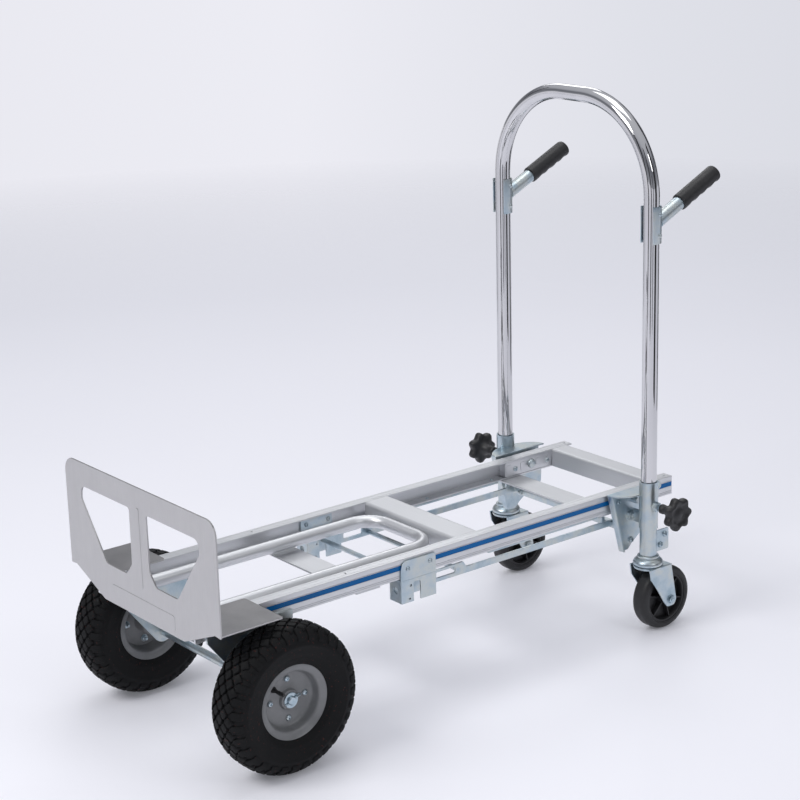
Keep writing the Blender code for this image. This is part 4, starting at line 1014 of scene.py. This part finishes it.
# %% [markdown]
# ## Knobs
# Seven soft lobes and a dished face make a star knob easy to turn with a gloved hand. The lobes are a wave
# on the radius, strongest at the rim and fading towards the middle, so rings of points give the whole
# moulding without a single cut.

# %% Knobs
for tag, side in SIDES:
    low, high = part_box("knob_" + tag)
    lobe_r = (high.z - low.z) / 2
    stem, back = (low.y, high.y) if side > 0 else (high.y, low.y)
    length = abs(back - stem)
    head = length - 0.018
    rings = []
    stations = [(0.0080, 0.0, 0.0), (0.0092, 0.0008, 0.0), (0.0092, 0.006, 0.0), (0.0085, 0.0075, 0.0),
                (0.0090, 0.016, 0.0),
                (0.0125, head - 0.005, 0.0), (0.0170, head - 0.0005, 0.0), (lobe_r * 0.80, head, 0.6),
                (lobe_r * 0.95, head + 0.0022, 0.9),
                (lobe_r, head + 0.006, 1.0), (lobe_r, length - 0.006, 1.0),
                (lobe_r * 0.96, length - 0.0022, 0.95),
                (lobe_r * 0.86, length - 0.0004, 0.8), (lobe_r * 0.66, length - 0.0008, 0.45),
                (lobe_r * 0.55, length - 0.0032, 0.15),
                (lobe_r * 0.36, length - 0.0036, 0.0), (lobe_r * 0.31, length - 0.0020, 0.0),
                (0.0001, length - 0.0012, 0.0)]
    for radius, out, wave in stations:
        ring = []
        for k in range(112):
            a = 2 * math.pi * k / 112
            r = radius - 0.0034 * wave * (1 - math.cos(7 * a))
            ring.append((LEG.x + r * math.cos(a), stem + side * out, PIVOT_Z + r * math.sin(a)))
        rings.append(ring)
    show("knob_%s_star" % tag, skin(rings), moulded, "knob_unit_" + tag, ["knob_" + tag],
         60)
keep(zinc, "stud_l", "stud_r")

# %% [markdown]
# ## Handle
# One chromed tube goes up one leg, over a wide arch and down the other. Chrome shows every flat, so the tube
# has 64 sides and the arch a ring every three degrees. A small locating hole is drilled in each leg.

# %% Handle tube
low = HANDLE_LOW
top = HANDLE_HIGH.z - HANDLE_R
ARCH = 0.172
arm = [(-LEG_Y, low.z), (-LEG_Y, low.z + 0.02), (-LEG_Y, PIVOT_Z + 0.2), (-LEG_Y, top - ARCH - 0.02)]
arm += [(-(LEG_Y - ARCH) + y, z) for y, z in bend((0, top - ARCH), ARCH, 180, 90, 30)]
path = arm + [(-y, z) for y, z in reversed(arm)]
HOLE_Z = 0.744
drills = [placed(turned([(0, 0.004), (0.0036, 0.004), (0.0036, -0.02), (0, -0.02)], 20),
                 (LEG.x + 0.0104, side * (LEG_Y + 0.0104), HOLE_Z), (1, side, 0)) for tag, side in SIDES]
show("handle_tube", drilled(tube([(LEG.x, y, z) for y, z in path], HANDLE_R, 64), *drills), chrome,
     "handle_unit",
     ["handle"], 50)

# %% [markdown]
# ## Grips
# Each grip is a rubber sleeve on a steel stub, tilted up so that it meets the hand. A folded saddle wraps
# the handle from behind and is riveted to the stub. The sleeve is round and smooth on top, with finger
# ridges below, which come from a wave on the radius that only acts on the underside.

# %% Grips and saddles
GRIP_TILT = math.radians(25.5)
GRIP_START, GRIP_END, GRIP_R, STUB_R = 0.0775, 0.181, 0.0157, 0.0128
along = Vector((math.cos(GRIP_TILT), 0, math.sin(GRIP_TILT)))
upward = Vector((-math.sin(GRIP_TILT), 0, math.cos(GRIP_TILT)))
sideways = Vector((0, 1, 0))
for tag, side in SIDES:
    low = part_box("grip_clamp_" + tag)[0]
    foot = Vector((LEG.x, side * LEG_Y, low.z + 0.031))
    rings = []
    stations = [(GRIP_START, 0.88), (GRIP_START + 0.0006, 0.97), (GRIP_START + 0.002, 1.0)]
    stations += [(GRIP_START + 0.004 + (GRIP_END - GRIP_START - 0.010) * k / 40, 1.0) for k in range(41)]
    stations += [(GRIP_END - 0.0035, 0.985), (GRIP_END - 0.0015, 0.93), (GRIP_END - 0.0003, 0.82),
                 (GRIP_END, 0.70)]
    for s, share in stations:
        ring = []
        finger = 0.5 - 0.5 * math.cos(2 * math.pi * (s - GRIP_START - 0.012) / 0.0215)
        finger *= 1.0 if GRIP_START + 0.012 < s < GRIP_END - 0.006 else 0.0
        for k in range(48):
            a = 2 * math.pi * k / 48
            under = max(0.0, -math.sin(a)) ** 2
            r = GRIP_R * share - 0.0021 * under * finger
            ring.append(foot + along * s + upward * (r * math.sin(a)) + sideways * (r * math.cos(a)))
        rings.append(ring)
    show("grip_%s_sleeve" % tag, skin(rings), grip_rubber, "handle_unit", ["grip_" + tag],
         60)
    wrap = HANDLE_R + 0.0022
    outer = [(-0.011, wrap)] + bend((0.002, 0), wrap, 90, -90, 20) + [(-0.011, -wrap)]
    inner = [(x - 0.0019 * (x > 0.002), y * (wrap - 0.0019) / wrap) for x, y in reversed(outer)]
    wall = [(LEG.x + x, side * LEG_Y + y) for x, y in (outer + inner)[::-1]]
    saddle = sheet(wall, 0.068, FLAT, foot + Vector((-LEG.x, -side * LEG_Y, 0.003)), edge=0.0005)
    stub = tube([foot + along * s for s in (0.0165, 0.05, GRIP_START + 0.02)], STUB_R, 36)
    rivets = [placed(rivet(0.0040, 0.0022), foot + Vector((0.0055, hand * wrap, z)), (0, hand, 0))
              for hand in (1, -1) for z in (0.023, -0.016)]
    show("grip_clamp_%s_saddle" % tag, together(saddle, stub, *rivets), zinc, "handle_unit",
         ["grip_clamp_" + tag])

# %% [markdown]
# ## Casters
# A swivel caster is a domed cup of ball races over a pressed fork, and a rubber tyre on a nylon wheel. The
# fork arms taper down to the axle bolt, and between tyre and hub the wheel is open, with ribs like spokes.

# %% Casters
for tag, side in SIDES:
    tyre_low, tyre_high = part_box("caster_tyre_" + tag)
    hub = middle("caster_tyre_" + tag)
    wheel_r, wheel_w = (tyre_high.z - tyre_low.z) / 2, (tyre_high.y - tyre_low.y) / 2
    cup_low, cup_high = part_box("caster_cup_" + tag)
    cup_r = (cup_high.x - cup_low.x) / 2
    low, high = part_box("fork_" + tag)
    crown_z = high.z
    cup = [(0, 0.047), (0.0138, 0.047), (0.0142, 0.0465), (0.0142, 0.0205), (0.0190, 0.0203),
           (0.0205, 0.0190), (0.0206, 0.0170), (0.0195, 0.0160), (0.0198, 0.0152), (0.0235, 0.0135),
           (0.0268, 0.0105), (cup_r - 0.0004, 0.0070), (cup_r, 0.0048), (cup_r - 0.0004, 0.0030),
           (cup_r - 0.0030, 0.0020), (cup_r - 0.0030, 0.0012), (cup_r - 0.0020, 0.0008), (0, 0.0008)]
    show("caster_cup_%s_races" % tag, placed(turned(cup, 64), (LEG.x, side * LEG_Y, crown_z)), zinc, "fold",
         ["caster_cup_" + tag], 30)
    outside = (high.y - low.y) / 2
    round_part = bend((LEG.x, side * LEG_Y), cup_r - 0.0006, 62, 298, 30)
    crown_x = hub.x + 0.0012
    loop = round_part + [(crown_x, side * LEG_Y - outside), (crown_x, side * LEG_Y + outside)]
    crown_plate = sheet(loop, 0.003, FLAT, (0, 0, crown_z - 0.0015), edge=0.0008)
    lip = sheet(bend((LEG.x, side * LEG_Y), cup_r - 0.0012, 0, 348, 29), 0.002, FLAT,
                (0, 0, crown_z - 0.0036), edge=0.0008)
    arm = softened([(LEG.x - 0.022, crown_z - 0.001, 0.001), (hub.x + 0.0005, crown_z - 0.001, 0.001),
                    (hub.x + 0.0146, hub.z - 0.002, 0.006), (hub.x + 0.0095, hub.z - 0.0132, 0.008),
                    (hub.x - 0.0095, hub.z - 0.0132, 0.008),
                    (LEG.x + 0.0163, hub.z - 0.0023, 0.008), (LEG.x, 0.0872, 0),
                    (LEG.x - 0.018, 0.1129, 0.004)], 6)
    arms = [sheet(arm, 0.0028, UPRIGHT_Y, (0, side * LEG_Y + hand * (outside - 0.0014), 0), edge=0.0006)
            for hand in (1, -1)]
    show("fork_%s_pressing" % tag, together(crown_plate, lip, *arms), zinc, "swivel_" + tag,
         ["fork_" + tag])
    half = [(wheel_r - 0.0006, 0.0), (wheel_r - 0.0001, wheel_w * 0.30), (wheel_r - 0.0004, wheel_w * 0.55),
            (wheel_r - 0.0022, wheel_w * 0.80),
            (wheel_r - 0.0052, wheel_w * 0.95), (wheel_r - 0.0080, wheel_w), (wheel_r - 0.0115, wheel_w),
            (wheel_r - 0.0120, wheel_w - 0.0008),
            (wheel_r - 0.0143, wheel_w - 0.0010), (wheel_r - 0.0145, wheel_w - 0.0020)]
    tyre = turned(mirrored(half[1:]) + half, 96, closed=True)
    show("caster_tyre_%s_rubber" % tag, placed(tyre, hub, (0, 1, 0)), caster_rubber, "caster_wheel_" + tag,
         ["caster_tyre_" + tag], 40)
    seat = wheel_r - 0.0148
    half = [(seat, wheel_w - 0.0020), (seat - 0.0030, wheel_w - 0.0016), (seat - 0.0042, wheel_w - 0.0030),
            (seat - 0.0052, 0.006)]
    band = turned(mirrored(half) + half, 72, closed=True)
    half = [(0.0046, wheel_w + 0.003), (0.0105, wheel_w + 0.003), (0.0118, wheel_w + 0.002),
            (0.0128, 0.006)]
    hub_tube = turned(mirrored(half) + half, 40, closed=True)
    web = turned([(0.0125, 0.0022), (seat - 0.0045, 0.0022), (seat - 0.0045, -0.0022), (0.0125, -0.0022)],
                 72, closed=True)
    spokes = []
    for k in range(6):
        spoke = sheet([(0.012, -0.0012), (seat - 0.004, -0.0012), (seat - 0.004, 0.0012), (0.012, 0.0012)],
                      wheel_w * 1.5, edge=0.0004)
        spoke.transform(Matrix.Rotation(math.radians(60 * k + 15), 4, "Z"))
        spokes.append(spoke)
    core = placed(together(band, hub_tube, web, *spokes), hub, (0, 1, 0))
    show("caster_core_%s_wheel" % tag, core, moulded, "caster_wheel_" + tag,
         ["caster_core_" + tag], 40)
    low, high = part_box("caster_bolt_" + tag)
    ends = [placed(hex_nut(0.0078, 0.0046, 0.0016 if hand < 0 else 0.0),
                   (hub.x, side * LEG_Y + hand * (outside + 0.0002), hub.z),
                   (0, hand, 0)) for hand in (1, -1)]
    shank = tube([(hub.x, low.y + 0.003, hub.z), (hub.x, side * LEG_Y, hub.z),
                  (hub.x, high.y - 0.003, hub.z)], 0.004, 16)
    show("caster_bolt_%s_nuts" % tag, together(shank, *ends), zinc, "swivel_" + tag,
         ["caster_bolt_" + tag])

# %% [markdown]
# ## Studio
# A pale round floor fades into the sky behind it, and big soft lamps stand round the truck as in a product
# studio. Polished tube only looks like chrome when it has something dark to mirror, so dark flags stand well
# outside the picture and are seen only in reflections.

# %% Floor, flags and lamps
FLOOR_R = 5.5
FLOOR_FADE = 2.5
floor_finish = Finish("studio_floor", (0.80, 0.80, 0.85), 0.0, 0.45, **{"Specular IOR Level": 0.2})
mottle = floor_finish.noise(1.6, (1, 1, 1), 2)
floor_finish.set("Base Color", floor_finish.blend(mottle, (0.79, 0.79, 0.84), (0.83, 0.83, 0.88)))
floor_finish.set("Emission Color", (0.86, 0.87, 0.93, 1))
floor_finish.set("Emission Strength", 0.13)
distance = floor_finish.node("VectorMath", {"operation": "LENGTH"}, {0: floor_finish.place()}, 1)
floor_finish.set("Alpha", (FLOOR_R - distance) * (1 / FLOOR_FADE))
floor_mesh = bpy.data.meshes.new("floor")
form = bmesh.new()
bmesh.ops.create_circle(form, cap_ends=True, radius=FLOOR_R, segments=96)
form.to_mesh(floor_mesh)
form.free()
floor_mesh.materials.append(floor_finish.material)
floor = bpy.data.objects.new("floor", floor_mesh)
bpy.context.scene.collection.objects.link(floor)


def lamp(name, place, size, watts, colour=(1, 1, 1)):
    """Square soft box that faces the truck."""
    light = bpy.data.lights.new(name, "AREA")
    light.shape = "RECTANGLE"
    light.size, light.size_y = size
    light.energy = watts
    light.color = colour
    made = bpy.data.objects.new(name, light)
    bpy.context.scene.collection.objects.link(made)
    made.location = place
    made.rotation_euler = (Vector((0, 0, 0.4)) - Vector(place)).to_track_quat("-Z", "Y").to_euler()
    return made


lamp("key_left", (-3.0, 0.4, 3.2), (1.6, 1.6), 66, (1.0, 0.99, 0.98))
lamp("fill_front", (0.8, -3.6, 2.6), (1.2, 1.2), 16)
lamp("top", (0.3, 0.4, 4.2), (2.4, 2.4), 30)
lamp("back_rim", (2.6, 3.0, 3.0), (1.6, 1.6), 18)


def flag(name, bearing, distance, width, height):
    """Dark board that only shows in reflections, at a bearing round the truck."""
    a = math.radians(bearing)
    centre = Vector((distance * math.cos(a), distance * math.sin(a), height / 2))
    across = Vector((-math.sin(a), math.cos(a), 0)) * width / 2
    up = Vector((0, 0, height / 2))
    form = bmesh.new()
    corners = [form.verts.new(centre + s * across + t * up)
               for s, t in ((-1, -1), (1, -1), (1, 1), (-1, 1))]
    form.faces.new(corners)
    board = bpy.data.objects.new(name, as_mesh(form))
    board.data.materials.append(flag_finish.material)
    bpy.context.scene.collection.objects.link(board)
    board.visible_camera = False
    board.visible_diffuse = False
    board.visible_shadow = False


flag_finish = Finish("dark_flag", (0.02, 0.02, 0.022), 0.0, 0.9)
for count, (bearing, distance, width, height) in enumerate((
        (-172, 2.0, 0.5, 2.2), (-128, 2.1, 0.42, 2.4), (-62, 1.9, 0.75, 2.4), (-8, 1.9, 0.6, 2.2),
        (-100, 2.4, 0.3, 1.4), (98, 2.3, 0.22, 2.4), (84, 2.6, 0.12, 2.4), (14, 2.3, 0.25, 2.4))):
    flag("flag_%d" % count, bearing, distance, width, height)
print("floor, lamps and", count + 1, "dark flags")

# %% [markdown]
# The sky below the horizon is the bright sweep behind the floor, a little greyer to the right. Above, it is
# dim near the horizon and brighter overhead, so upright metal has something dark to mirror.

# %% Sky
world = bpy.data.worlds.new("studio_sky")
world.use_nodes = True
sky = Nodes(world.node_tree)
facing = sky.node("TexCoord", output="Generated")
height = sky.node("SeparateXYZ", None, {0: facing}, 2)
rightward = sky.node("VectorMath", {"operation": "DOT_PRODUCT"}, {0: facing, 1: tuple(CAMERA_RIGHT)}, 1)
wall = sky.ramp(rightward + 0.5, (0.30, (0.82, 0.82, 0.88)), (0.45, (0.84, 0.84, 0.90)),
                (0.62, (0.74, 0.75, 0.81)),
                (0.80, (0.68, 0.69, 0.75)))
ceiling = sky.ramp(height, (0.02, (0.34, 0.35, 0.38)), (0.30, (0.16, 0.165, 0.19)),
                   (0.55, (0.50, 0.51, 0.55)),
                   (1.0, (0.62, 0.63, 0.66)))
shown = sky.blend(height.over(0.0), wall, ceiling)
background = world.node_tree.nodes["Background"]
feed(background.inputs["Color"], shown)
background.inputs["Strength"].default_value = 1.0
bpy.context.scene.world = world
bpy.context.scene.view_settings.view_transform = "Standard"

# %% Sizes


def plain(bounds):
    return [[round(float(value), 5) for value in corner] for corner in bounds]
